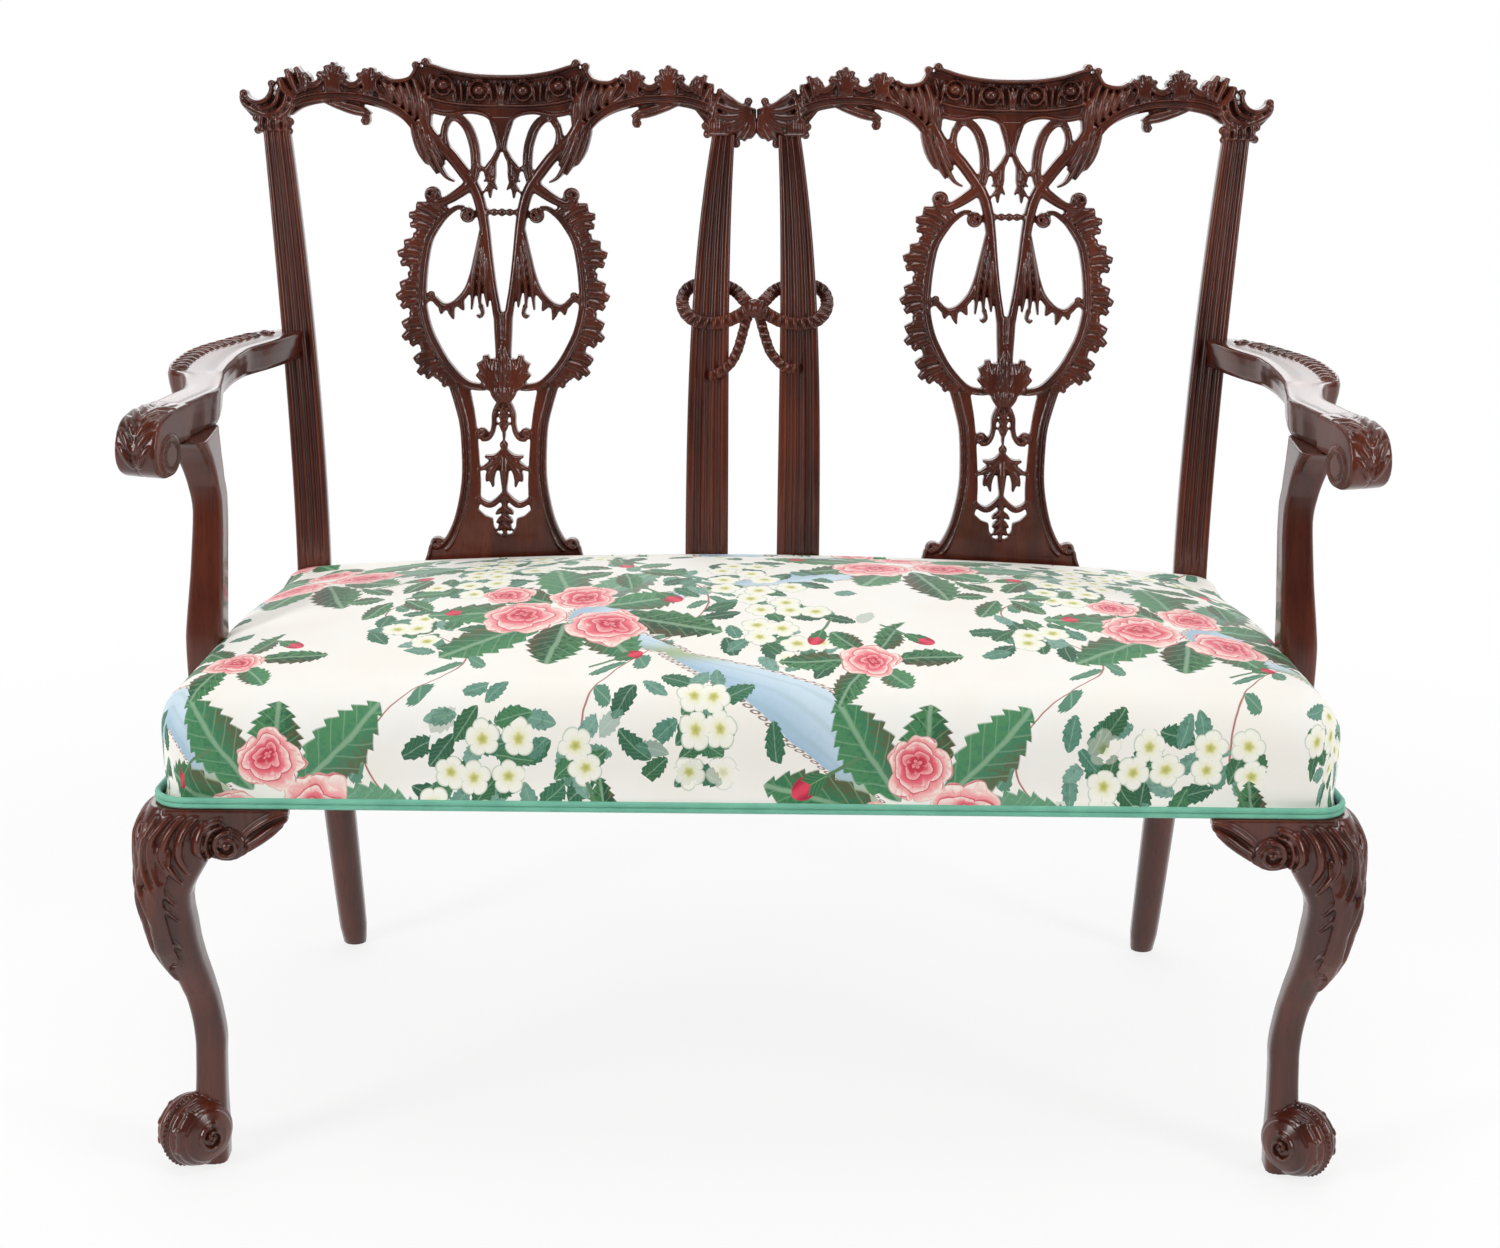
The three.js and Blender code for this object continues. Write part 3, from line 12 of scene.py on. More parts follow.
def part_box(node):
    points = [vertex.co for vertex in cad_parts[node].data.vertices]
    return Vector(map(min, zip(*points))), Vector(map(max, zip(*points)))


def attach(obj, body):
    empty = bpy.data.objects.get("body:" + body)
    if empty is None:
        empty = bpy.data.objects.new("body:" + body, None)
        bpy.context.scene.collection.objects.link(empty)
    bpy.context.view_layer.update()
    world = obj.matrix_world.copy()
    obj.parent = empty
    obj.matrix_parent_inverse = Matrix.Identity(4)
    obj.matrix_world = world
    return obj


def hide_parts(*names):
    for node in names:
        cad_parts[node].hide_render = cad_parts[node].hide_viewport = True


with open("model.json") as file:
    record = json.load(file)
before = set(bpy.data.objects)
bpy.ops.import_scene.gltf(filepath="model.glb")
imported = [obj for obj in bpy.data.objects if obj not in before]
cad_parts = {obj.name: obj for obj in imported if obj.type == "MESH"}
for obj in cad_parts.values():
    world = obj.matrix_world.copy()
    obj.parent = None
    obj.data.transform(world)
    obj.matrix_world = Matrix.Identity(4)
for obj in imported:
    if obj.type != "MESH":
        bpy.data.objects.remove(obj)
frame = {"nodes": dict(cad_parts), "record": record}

bl_info = {
    "name": "Chair-back settee",
    "version": (1, 0, 0),
    "blender": (4, 5, 0),
    "location": "View3D > Sidebar > Settee",
    "description": "Carved mahogany settee with two chair backs and a printed seat",
    "category": "Add Mesh",
}

MM = 0.001
FULL_TURN = 2 * math.pi

# The most triangles that one piece may keep
PIECE_TRIANGLES = 192000

# The back, which leans about its foot on the rear rail, in millimetres up its own slope
BACK_LEAN = math.atan(0.09)
RAIL_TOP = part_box("seat_rail_rear")[1].z
BACK_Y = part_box("centre_stile_left")[0].y + 15 * MM
CHAIR_CENTRE = -280.0
CREST_FOOT = 456.0
SPLAT_FOOT = 457.13
CREST_BACK = -12.0
STILE_STAND = 15.0
POST_HEIGHT = 502.0
POST_HALF = 18.5
POST_SPLAY = 26
POST_RAKE = 33

# The seat, the arms and the front legs, in millimetres, with the front feet's plane at zero
RAIL_TOP_MM = RAIL_TOP / MM
RAIL_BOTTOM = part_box("seat_rail_front")[0].z / MM
SEAT_FRONT = -16.0
SEAT_DEPTH = 523.0
SEAT_BACK = 503.5
SEAT_FRONT_HALF = 562.0
SEAT_REAR_HALF = 513.5
ROOM_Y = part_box("seat_rail_front")[0].y / MM - SEAT_FRONT
SEAT_CORNER = 30.0
SEAT_ROLL = 34.0
SEAT_SWELL = 4.0
EDGE_RISE = 44
CROWN_RISE = 76
REAR_RISE = 38
REAR_CORNER_RISE = 18
COVER_OUT = 7.0
ARM_TOP = 742.0
ARM_THICKNESS = 38.0
SUPPORT_X = 550.5
SUPPORT_Y = 172
SUPPORT_WIDTH = 37
SUPPORT_DEPTH = 42
SUPPORT_FOOT = 402
FOOT_X = 549.5
KNEE_HALF = 35.0
KNEE_SWING = 15.5
LEG_HEIGHT = 385.7
FOOT_RADIUS = 36.0
FOOT_FACE = 25


def room(x, y, z):
    """A place in the frame from millimetres across, back from the front feet, and up."""
    return Vector((x, y + ROOM_Y, z)) * MM


# Lines

def spread(values, count):
    """One value for each of count places, from one number or from a few that are spread evenly."""
    if not hasattr(values, "__len__"):
        return [values] * count
    if count == 1:
        return [values[0]]
    result = []
    for i in range(count):
        at = i / (count - 1) * (len(values) - 1)
        low = min(int(at), len(values) - 2)
        result.append(values[low] + (values[low + 1] - values[low]) * (at - low))
    return result


def eased(a, b, c, d, t):
    """The place at share t from b to c, on a smooth curve that runs on from a and to d."""
    return 0.5 * (
        2 * b + (c - a) * t + (2 * a - 5 * b + 4 * c - d) * t * t + (3 * b - a - 3 * c + d) * t * t * t)


def smooth_line(points, step=2.5):
    """A smooth line through the points, as places about one step apart."""
    points = [Vector(p) for p in points]
    line = []
    for i in range(len(points) - 1):
        a, b, c, d = (points[min(max(i + k, 0), len(points) - 1)] for k in (-1, 0, 1, 2))
        parts = max(1, round((c - b).length / step))
        line += [eased(a, b, c, d, j / parts) for j in range(parts)]
    return line + [points[-1].copy()]


def arc(centre, radius, angles):
    """Places round a centre, at angles in degrees."""
    return [(centre[0] + radius * math.cos(math.radians(a)), centre[1] + radius * math.sin(math.radians(a)))
            for a in angles]


def spiral(centre, radius, end_radius, turns, start, turn):
    """The line of a volute, from its outside in to its eye. Angles are in degrees."""
    count = max(6, int(14 * turns))
    line = []
    for i in range(count + 1):
        share = i / count
        r = radius + (end_radius - radius) * share ** 0.8
        angle = math.radians(start + turn * 360 * turns * share)
        line.append((centre[0] + r * math.cos(angle), centre[1] + r * math.sin(angle)))
    return line


class Track:
    """A smooth line that is read by the length along it."""

    def __init__(self, points, step):
        self.line = smooth_line(points, step)
        self.lengths = [0.0]
        for a, b in zip(self.line, self.line[1:]):
            self.lengths.append(self.lengths[-1] + (b - a).length)

    def frame(self, length):
        """The place on the line, and the way out from it, at a length along it."""
        length = min(max(length, 0), self.lengths[-1] - 0.01)
        i = next(k for k in range(1, len(self.lengths)) if self.lengths[k] > length) - 1
        share = (length - self.lengths[i]) / (self.lengths[i + 1] - self.lengths[i])
        at = self.line[i].lerp(self.line[i + 1], share)
        run = (self.line[min(i + 2, len(self.line) - 1)] - self.line[max(i - 1, 0)]).normalized()
        return at, Vector((-run.y, run.x))


def rounded_square(count, power):
    """The places round a square from -1 to 1 with rounded corners: the lower the power, the squarer."""
    ring = []
    for i in range(count):
        c, s = math.cos(FULL_TURN * i / count), math.sin(FULL_TURN * i / count)
        ring.append((math.copysign(abs(c) ** power, c), math.copysign(abs(s) ** power, s)))
    return ring


# Cross-sections of a carver's stroke, as shares of its half width and of its height
CROWN = [(-1, 0), (-0.92, 0.45), (-0.65, 0.8), (-0.3, 0.96), (0, 1), (0.3, 0.96), (0.65, 0.8), (0.92, 0.45),
         (1, 0)]
LIPPED = [(-1, 0), (-0.96, 0.8), (-0.82, 1), (-0.66, 0.92), (-0.5, 0.66), (0, 0.56), (0.5, 0.66),
          (0.66, 0.92), (0.82, 1), (0.96, 0.8), (1, 0)]
LEAF = [(-1, 0.1), (-0.8, 0.7), (-0.48, 1), (-0.16, 0.78), (0, 0.5), (0.16, 0.78), (0.48, 1), (0.8, 0.7),
        (1, 0.1)]


def sweep(target, rings):
    """Adds the solid whose cross-sections are the rings, each extruded from the one before."""
    piece = bmesh.new()
    first = [piece.verts.new(p) for p in rings[0]]
    face = piece.faces.new(first)
    for ring in rings[1:]:
        face = bmesh.ops.extrude_discrete_faces(piece, faces=[face])["faces"][0]
        for vert, place in zip(face.verts, ring):
            vert.co = place
    piece.faces.new(first)
    bmesh.ops.recalc_face_normals(piece, faces=piece.faces)
    append(target, piece)


def append(target, piece):
    """Moves one bmesh into another."""
    passing = bpy.data.meshes.new("passing")
    piece.to_mesh(passing)
    piece.free()
    target.from_mesh(passing)
    bpy.data.meshes.remove(passing)


class Carving:
    """Carved work built up of overlapping strokes, each laid on the wood by the place function.
    Its strokes and boards run back to one depth, unless they are given their own."""

    def __init__(self, place, back=-6.0):
        self.place = place
        self.back = back
        self.side = 1
        self.mesh = bmesh.new()

    def at(self, x, z, out):
        return self.place(self.side * x, z, out)

    def stroke(self, points, width, height, low=1.0, back=None, section=CROWN, step=2.5):
        """A ridge along a line: width, height, low and back may each be one number or a few along it."""
        line = smooth_line(points, step)
        count = len(line)
        widths, heights, lows = spread(width, count), spread(height, count), spread(low, count)
        backs = spread(self.back if back is None else back, count)
        rings = []
        for i, p in enumerate(line):
            along = (line[min(i + 1, count - 1)] - line[max(i - 1, 0)]).normalized()
            across = Vector((-along.y, along.x))
            half = max(widths[i] / 2, 0.2)
            ring = []
            for share, rise in section:
                q = p + across * (share * half)
                ring.append(self.at(q.x, q.y, lows[i] + (heights[i] - lows[i]) * rise))
            for share in (1, -1):
                q = p + across * (share * half)
                ring.append(self.at(q.x, q.y, backs[i]))
            rings.append(ring)
        sweep(self.mesh, rings)

    def board(self, outline, front, back=None):
        """A flat piece sawn to an outline."""
        back = self.back if back is None else back
        piece = bmesh.new()
        face = piece.faces.new([piece.verts.new(self.at(x, z, back)) for x, z in outline])
        made = bmesh.ops.extrude_face_region(piece, geom=[face])
        moved = [v for v in made["geom"] if isinstance(v, bmesh.types.BMVert)]
        lift = self.at(0, 0, front) - self.at(0, 0, back)
        bmesh.ops.translate(piece, verts=moved, vec=lift)
        bmesh.ops.recalc_face_normals(piece, faces=piece.faces)
        append(self.mesh, piece)

    def bead(self, x, z, out, radius, tall=1.0, deep=1.0):
        """A round or oval bead."""
        piece = bmesh.new()
        bmesh.ops.create_icosphere(piece, subdivisions=2, radius=radius)
        for vert in piece.verts:
            v = vert.co
            vert.co = self.at(x + v.x, z + v.z * tall, out + v.y * deep)
        bmesh.ops.recalc_face_normals(piece, faces=piece.faces)
        append(self.mesh, piece)

    def volute(self, centre, radius, turns, start, turn, width, height, back=None):
        """A scroll that winds in to an eye, over a disc that stands lower."""
        self.disc(centre, radius + width * 0.3, height - 4.4, back)
        line = spiral(centre, radius, radius * 0.36, turns, start, turn)
        self.stroke(
            line, [width, width * 0.55], [height, height + 0.6], low=height - 3.2, back=back, step=1.4)
        self.bead(centre[0], centre[1], height - 2.4, max(1.7, radius * 0.3))

    def disc(self, centre, radius, front, back=None):
        """A round piece of board."""
        self.board(arc(centre, radius, range(0, 360, 20)), front, back)

    def ruffle(self, roots, tips, height, floor, bow=0.06, notch=0.16):
        """Ribs that spread side by side over a web of wood, with a notch between each two tips."""
        roots, tips = [Vector(p) for p in roots], [Vector(p) for p in tips]
        bows = spread(bow, len(tips))
        edge = []
        for i, tip in enumerate(tips):
            edge.append(tip.lerp(roots[i], 0.06))
            if i < len(tips) - 1:
                edge.append(((tip + tips[i + 1]) / 2).lerp((roots[i] + roots[i + 1]) / 2, notch))
        self.board([*edge, *reversed(roots)], floor)
        for i, (a, b) in enumerate(zip(roots, tips)):
            near = [(b - tips[k]).length for k in (i - 1, i + 1) if 0 <= k < len(tips)]
            low_near = [(a - roots[k]).length for k in (i - 1, i + 1) if 0 <= k < len(tips)]
            wide, narrow = sum(near) / len(near), max(1.6, sum(low_near) / len(low_near))
            middle = a.lerp(b, 0.55) + Vector((-(b - a).y, (b - a).x)) * bows[i]
            self.stroke([a, middle, b], [narrow * 0.9, (wide + narrow) * 0.48, wide * 0.86, wide * 0.6],
                        [height - 1.5, height, height + 0.6, height - 2], low=floor - 0.8, step=2.0)

    def notch(self, centre, radius, start, sweep_by, height, floor):
        """The two nested rims of a C-shaped notch."""
        for k in range(2):
            rim = radius + 1.6 + k * 4.2
            line = arc(centre, rim, [start + sweep_by * i / 8 for i in range(9)])
            self.stroke(line, [2.6, 3.8, 3.8, 2.6], [height, height - k * 0.8, height], low=floor, step=2.0)

    def finish(self, name, voxel):
        """Joins the strokes into one skin of wood."""
        raw = make_object(name + "_strokes", self.mesh)
        remesh = raw.modifiers.new("Join", "REMESH")
        remesh.mode = "VOXEL"
        remesh.voxel_size = voxel * 1.0
        remesh.use_smooth_shade = True
        soften = raw.modifiers.new("Soften", "SMOOTH")
        soften.factor = 0.5
        soften.iterations = 1
        return thinned(settled(raw, name), name)


def thinned(piece, name):
    """The piece with no more triangles than one piece may have, where they tell the least."""
    count = sum(len(face.vertices) - 2 for face in piece.data.polygons)
    if count <= PIECE_TRIANGLES:
        return piece
    thin = piece.modifiers.new("Thin", "DECIMATE")
    thin.ratio = PIECE_TRIANGLES / count
    done = settled(piece, name + "_thin")
    done.name = name
    return done


def linked(name, data):
    """A new object of the scene that holds the data."""
    made = bpy.data.objects.new(name, data)
    bpy.context.scene.collection.objects.link(made)
    return made


def make_object(name, mesh_work):
    """Turns a bmesh into an object of the scene."""
    mesh = bpy.data.meshes.new(name)
    mesh_work.to_mesh(mesh)
    mesh_work.free()
    return linked(name, mesh)


def settled(raw, name):
    """The object with its modifiers worked into its mesh."""
    graph = bpy.context.evaluated_depsgraph_get()
    mesh = bpy.data.meshes.new_from_object(raw.evaluated_get(graph))
    mesh.name = name
    done = linked(name, mesh)
    old = raw.data
    bpy.data.objects.remove(raw)
    bpy.data.meshes.remove(old)
    mesh.shade_smooth()
    return done


def mirrored(source, name):
    """A copy of a piece for the other side of the settee."""
    work = bmesh.new()
    work.from_mesh(source.data)
    bmesh.ops.scale(work, vec=(-1, 1, 1), verts=work.verts)
    bmesh.ops.reverse_faces(work, faces=work.faces)
    copy = make_object(name, work)
    copy.data.shade_smooth()
    return copy


def keep(piece, slot, finish, *nodes):
    """Gives a piece its finish and puts it in the place of its nodes."""
    piece.data.materials.clear()
    piece.data.materials.append(finish)
    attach(piece, "root")
    if nodes:
        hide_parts(*nodes)


def keep_both(left, name, *nodes):
    """Keeps a carved piece of the left side, and its mirror image on the right."""
    right = mirrored(left, name + "_right")
    for piece, side in ((left, "_left"), (right, "_right")):
        keep(piece, "carved_wood", carved_wood(), *[node + side for node in nodes])


def back_place(foot, centre=CHAIR_CENTRE):
    """Where a carver's x, height and relief lie on the leaning back, from millimetres."""
    cos, sin = math.cos(BACK_LEAN), math.sin(BACK_LEAN)

    def place(x, z, out):
        h = z - foot
        return Vector(((centre + x) * MM, BACK_Y + (h * sin - out * cos) * MM,
                       RAIL_TOP + (h * cos + out * sin) * MM))

    return place


# Finishes

class Signal:
    """A shader socket that can stand in a sum. Each step of the sum adds its Math node."""

    def __init__(self, finish, socket):
        self.finish = finish
        self.socket = socket

    def step(self, operation, *others):
        """What the Math node of that name makes of this signal and the others."""
        return self.finish.maths(operation, self, *others)

    def __add__(self, other):
        return self.step("ADD", other)

    __radd__ = __add__

    def __sub__(self, other):
        return self.step("SUBTRACT", other)

    def __rsub__(self, other):
        return self.finish.maths("SUBTRACT", other, self)

    def __mul__(self, other):
        return self.step("MULTIPLY", other)

    __rmul__ = __mul__

    def __truediv__(self, other):
        return self.step("DIVIDE", other)

    def __pow__(self, other):
        return self.step("POWER", other)

    def __abs__(self):
        return self.step("ABSOLUTE")


class Outputs:
    """The outputs of a node, by number or by name."""

    def __init__(self, finish, node):
        self.finish = finish
        self.node = node

    def __getitem__(self, key):
        return Signal(self.finish, self.node.outputs[key])


class Finish:
    """One material, or the world, and the few ways in which its nodes are made."""

    def __init__(self, name, shader="Principled BSDF", home="materials"):
        self.material = getattr(bpy.data, home).new(name)
        self.material.use_nodes = True
        self.tree = self.material.node_tree
        self.shader = self.tree.nodes[shader]

    def node(self, kind, settings=None, inputs=None, stops=None):
        made = self.tree.nodes.new(kind)
        for name, value in (settings or {}).items():
            setattr(made, name, value)
        if stops:
            ramp = made.color_ramp
            while len(ramp.elements) > 1:
                ramp.elements.remove(ramp.elements[-1])
            for i, (at, colour) in enumerate(stops):
                stop = ramp.elements[0] if i == 0 else ramp.elements.new(at)
                stop.position = at
                stop.color = (*colour, 1)
        for key, value in (inputs or {}).items():
            self.feed(made.inputs[key], value)
        return Outputs(self, made)

    def feed(self, socket, value):
        if isinstance(value, Signal):
            self.tree.links.new(value.socket, socket)
        elif hasattr(value, "__len__") and socket.type == "RGBA" and len(value) == 3:
            socket.default_value = (*value, 1)
        else:
            socket.default_value = value

    def maths(self, operation, *values):
        return self.node("ShaderNodeMath", {"operation": operation}, dict(enumerate(values)))[0]

    def woven(self, a, b, threads):
        """Threads that cross: waves along one way times waves along the other."""
        return (a * threads).step("SINE") * (b * threads).step("SINE")

    def parts(self, vector):
        return self.node("ShaderNodeSeparateXYZ", None, {0: vector})

    def cells(self, vector, scale, randomness):
        """Scattered points: the nearest one, three chance numbers of its own, and the way from it."""
        made = self.node("ShaderNodeTexVoronoi", {"voronoi_dimensions": "2D"},
                         {"Vector": vector, "Scale": scale, "Randomness": randomness})
        chance = self.node("ShaderNodeSeparateColor", None, {0: made["Color"]})
        return made["Position"], chance, self.vector("SUBTRACT", vector, made["Position"])["Vector"]

    def mix(self, factor, a, b):
        made = self.tree.nodes.new("ShaderNodeMix")
        made.data_type = "RGBA"
        self.feed(made.inputs[0], factor)
        self.feed(made.inputs[6], a)
        self.feed(made.inputs[7], b)
        return Signal(self, made.outputs[2])

    def ramp(self, value, *stops):
        return self.node("ShaderNodeValToRGB", None, {0: value}, stops)[0]

    def range(self, value, low, high, to_low=0.0, to_high=1.0, kind="SMOOTHSTEP"):
        return self.node("ShaderNodeMapRange", {"interpolation_type": kind},
                         {0: value, 1: low, 2: high, 3: to_low, 4: to_high})[0]

    def cut(self, value, low, high, to_low=0.0, to_high=1.0):
        """A range with a hard edge, as ink has."""
        return self.range(value, low, high, to_low, to_high, "LINEAR")

    def noise(self, vector, scale, detail=4.0, rough=0.5, distortion=0.0):
        return self.node("ShaderNodeTexNoise", None, {"Vector": vector, "Scale": scale, "Detail": detail,
                                                      "Roughness": rough, "Distortion": distortion})

    def moved(self, vector, location=(0, 0, 0), turn=0.0, scale=(1, 1, 1)):
        return self.node("ShaderNodeMapping", None, {
            "Vector": vector, "Location": location, "Rotation": (0, 0, turn), "Scale": scale})[0]

    def place(self):
        return self.node("ShaderNodeTexCoord")["Object"]

    def vector(self, operation, *values):
        return self.node("ShaderNodeVectorMath", {"operation": operation}, dict(enumerate(values)))

    def mix_vector(self, factor, a, b):
        return self.node("ShaderNodeMix", {"data_type": "VECTOR"}, {0: factor, 4: a, 5: b})[1]

    def join(self, x, y):
        return self.node("ShaderNodeCombineXYZ", None, {0: x, 1: y})[0]

    def bump(self, height, strength, distance):
        return self.node("ShaderNodeBump", None, {
            "Strength": strength, "Distance": distance, "Height": height})["Normal"]

    def done(self, **sockets):
        for name, value in sockets.items():
            self.feed(self.shader.inputs[name.replace("_", " ").title()], value)
        return self.material


def carved_wood():
    """Polished mahogany, made once: upright grain, painted shade that darkens the hollows, and worn paler
    on the edges.
    """
    found = bpy.data.materials.get("Polished mahogany")
    if found:
        return found
    finish = Finish("Polished mahogany")
    place = finish.place()
    figure = finish.noise(finish.moved(place, scale=(1, 1, 0.07)), 34, 5, 0.6, 0.4)[0]
    pores = finish.noise(finish.moved(place, scale=(1, 1, 0.03)), 620, 2, 0.7)[0]
    cloud = finish.noise(place, 7.0, 3, 0.55)[0]
    colours = bpy.context.scene.settee_colours
    dark, worn = tuple(colours.wood_dark), tuple(colours.wood_worn)
    middle, red = tuple(colours.wood), tuple(colours.wood_red)
    wood = finish.ramp(figure * 0.65 + cloud * 0.35, (0.26, dark), (0.45, middle), (0.7, red))
    wood = finish.mix(finish.range(pores, 0.52, 0.7) * 0.35, wood, dark)
    point = finish.node("ShaderNodeNewGeometry")["Pointiness"]
    # the concave places, where painted shade is laid; the coat is also rougher and thinner there
    shaded_hollow = finish.range(point, 0.42, 0.5, 1.0, 0.0)
    edge = finish.range(point, 0.54, 0.64)
    patchy = finish.range(finish.noise(place, 60, 3, 0.6)[0], 0.45, 0.7)
    # painted shade: the hollows are darkened almost to black, as shade would fall in them
    wood = finish.mix(shaded_hollow * 0.9, wood, (0.0025, 0.0012, 0.001))
    wood = finish.mix(edge * patchy * 0.5, wood, worn)
    rough = 0.17 + figure * 0.1 + shaded_hollow * 0.36 - edge * 0.03
    normal = finish.bump(pores * 0.5 + figure * 0.5, 0.05, 0.0004)
    finish.shader.inputs["Coat Roughness"].default_value = 0.1
    finish.shader.inputs["Specular IOR Level"].default_value = 0.4
    return finish.done(base_color=wood, roughness=rough, coat_weight=(1 - shaded_hollow) * 0.3, normal=normal)


def plain_wood():
    """Planed beech that nobody sees."""
    colour, dark = (0.45, 0.27, 0.13), (0.32, 0.17, 0.075)
    finish = Finish("Planed beech")
    place = finish.place()
    figure = finish.noise(finish.moved(place, scale=(0.08, 1, 1)), 60, 4, 0.6)[0]
    flecks = finish.noise(finish.moved(place, scale=(0.2, 1, 1)), 420, 2, 0.5)[0]
    wood = finish.mix(finish.range(figure, 0.35, 0.7), colour, dark)
    wood = finish.mix(finish.range(flecks, 0.6, 0.7) * 0.5, wood, dark)
    return finish.done(
        base_color=wood, roughness=0.55 + figure * 0.2, normal=finish.bump(figure, 0.1, 0.0003))


def steel():
    """Oiled steel, clouded with age."""
    finish = Finish("Oiled steel")
    place = finish.place()
    cloud = finish.noise(place, 90, 4, 0.6)[0]
    colour = finish.ramp(cloud, (0.35, (0.16, 0.15, 0.14)), (0.6, (0.42, 0.42, 0.42)))
    finish.shader.inputs["Metallic"].default_value = 1.0
    return finish.done(
        base_color=colour, roughness=0.3 + cloud * 0.3, normal=finish.bump(cloud, 0.1, 0.0002))


# Two tones of each plain cloth, the steps of the print in metres, and the threads in radians a metre
CALICO = ((0.75, 0.7, 0.58), (0.6, 0.54, 0.42))
JUTE = ((0.42, 0.3, 0.15), (0.26, 0.17, 0.08))
CAMBRIC = ((0.02, 0.02, 0.02), (0.01, 0.01, 0.01))
BEAD_STEP = 0.0052
REPEAT = (0.62, 0.47)
JUTE_THREADS = 1500.0
WELT_THREADS = 3200.0
PRINT_THREADS = 7000.0


def cloth(name, colour, shade, threads=900.0):
    """Plain woven cloth on object places, with painted shade between its threads."""
    finish = Finish(name)
    place = finish.place()
    split = finish.parts(place)
    weave = finish.woven(split[0], split[1], threads)
    cloud = finish.noise(place, 25, 4, 0.6)[0]
    dye_and_weave_shade = finish.mix(finish.range(cloud, 0.3, 0.75) * 0.7, colour, shade)
    # painted shade: darker where the weave's bump is low, between the threads
    dye_and_weave_shade = finish.mix(finish.range(weave, -0.6, 0.8, 0.35, 0.0), dye_and_weave_shade, shade)
    return finish.done(base_color=dye_and_weave_shade, roughness=0.9, normal=finish.bump(weave, 0.3, 0.0002))


# Sizes and colours that a user would change

class SetteeSizes(bpy.types.PropertyGroup):
    carving_voxel: FloatProperty(
        name="Carving fineness", description="Size of the finest carved detail",
        default=1.15 * MM, min=0.5 * MM, max=5 * MM, subtype="DISTANCE", unit="LENGTH")


COLOUR = {"subtype": "COLOR", "size": 3, "min": 0, "max": 1}


class SetteeColours(bpy.types.PropertyGroup):
    wood_dark: FloatVectorProperty(
        name="Dark wood", description="The darkest streaks of the mahogany",
        default=(0.017, 0.0042, 0.0026), **COLOUR)
    wood: FloatVectorProperty(
        name="Wood", description="The common colour of the mahogany",
        default=(0.066, 0.0135, 0.007), **COLOUR)
    wood_red: FloatVectorProperty(
        name="Red wood", description="The reddest streaks of the mahogany",
        default=(0.155, 0.031, 0.013), **COLOUR)
    wood_worn: FloatVectorProperty(
        name="Worn wood", description="Wood where the polish has worn off the edges",
        default=(0.13, 0.06, 0.036), **COLOUR)
    welt: FloatVectorProperty(
        name="Welt", description="The jade cotton of the double welt", default=(0.20, 0.56, 0.40), **COLOUR)


def carving_voxel():
    """The cell size of the carved skins."""
    return bpy.context.scene.settee_sizes.carving_voxel


# Splats

def carve_splat(work):
    """The pierced splat, one half after the other."""
    for side in (1, -1):
        work.side = side
        splat_straps(work)
        splat_ruffles(work)
        splat_leaves(work)
        splat_pendant(work)
        splat_base(work)


def splat_straps(work):
    """The strap that crosses the splat, the oval ring, and the straps and scrolls inside them."""
    work.stroke(
        [(88, 974), (80, 958), (72, 948), (57, 934), (42, 915), (30, 897), (23.5, 878), (20, 857),
         (16.5, 828), (12.5, 798), (8.6, 773), (6, 756)], [14, 14, 13.5, 13, 12.5, 11.5, 10, 9, 10],
        [10, 10.4, 10, 9.4, 9, 8.6], low=3)
    work.stroke([(5.6, 762), (5, 740), (4.4, 714), (4, 690)], [11, 10.4, 9, 8], 8.6, low=2)
    work.stroke(
        [(42, 876.5), (48, 877), (56, 873), (67, 863), (80, 843), (86, 819), (89, 790), (89, 768),
         (84, 744), (76, 725), (63, 703), (44, 683), (28, 678), (14, 679)], [5, 8.5, 9.6, 9.6, 9.6, 9.6, 9,
                                                                             7.5], [7, 8, 8.4, 8.4, 8, 7.6],
        low=1, section=LIPPED)
    work.volute((38, 868.5), 7.4, 1.15, 85, 1, 4.2, 8.2)
    work.stroke([(33, 906), (40, 898), (49, 891.5), (60, 885), (69, 882), (76, 882.5)],
                [14, 13, 11.5, 10, 7.5], [9, 9.6, 9, 8.6], low=2)
    work.volute((76.5, 890.5), 8, 1.2, -88, 1, 4.2, 8.6)
    # the strap under the crest that rises to a cusp and comes back
    work.stroke([(33, 903), (29.5, 914), (28.5, 928), (30.5, 946), (37, 964), (47, 974), (56, 974),
                 (61, 966)], [9, 10.5, 11, 11, 11, 10.5, 9.5, 8], [8, 8.8, 9, 9, 8.6], low=2,
                section=LIPPED)
    work.stroke([(61, 968), (63.5, 956), (61, 944), (54, 932), (46, 921)], [8, 8.5, 8.5, 7], 7.6, low=1.5)
    work.stroke([(52, 975), (57, 978), (61, 977)], [8, 6, 2], [8, 7.6, 5])
    # the strap across the ring's foot, with its cusps
    work.stroke(
        [(89, 768), (84, 775), (77, 776), (71, 770), (63, 767), (52, 771.5), (40, 785), (33, 803),
         (28.5, 824), (25, 842), (22, 858)], [6, 7.5, 8.5, 8.5, 8.5, 8.5, 8, 7, 6, 5],
        [6.4, 7.4, 7.6, 7.6, 7.4, 6.6], low=1)
    work.bead(79, 781, 4.6, 4.4)
    for tip, root in (((68.5, 758.5), (66, 768)), ((55, 753), (58, 768)), ((43.5, 763), (48, 775))):
        work.stroke([root, ((tip[0] + root[0]) / 2 + 1, (tip[1] + root[1]) / 2), tip], [10, 7.5, 1.5],
                    [7.4, 7, 3.8], low=2)
    # the beaded tie between the two straps
    work.stroke([(0, 872), (9, 871.5), (18, 873)], [5, 5, 7], 4, low=1)
    for x, radius in ((0, 4.6), (8.6, 4.4), (15.4, 3.4)):
        work.bead(x, 872, 4.4, radius, tall=1.05, deep=0.9)


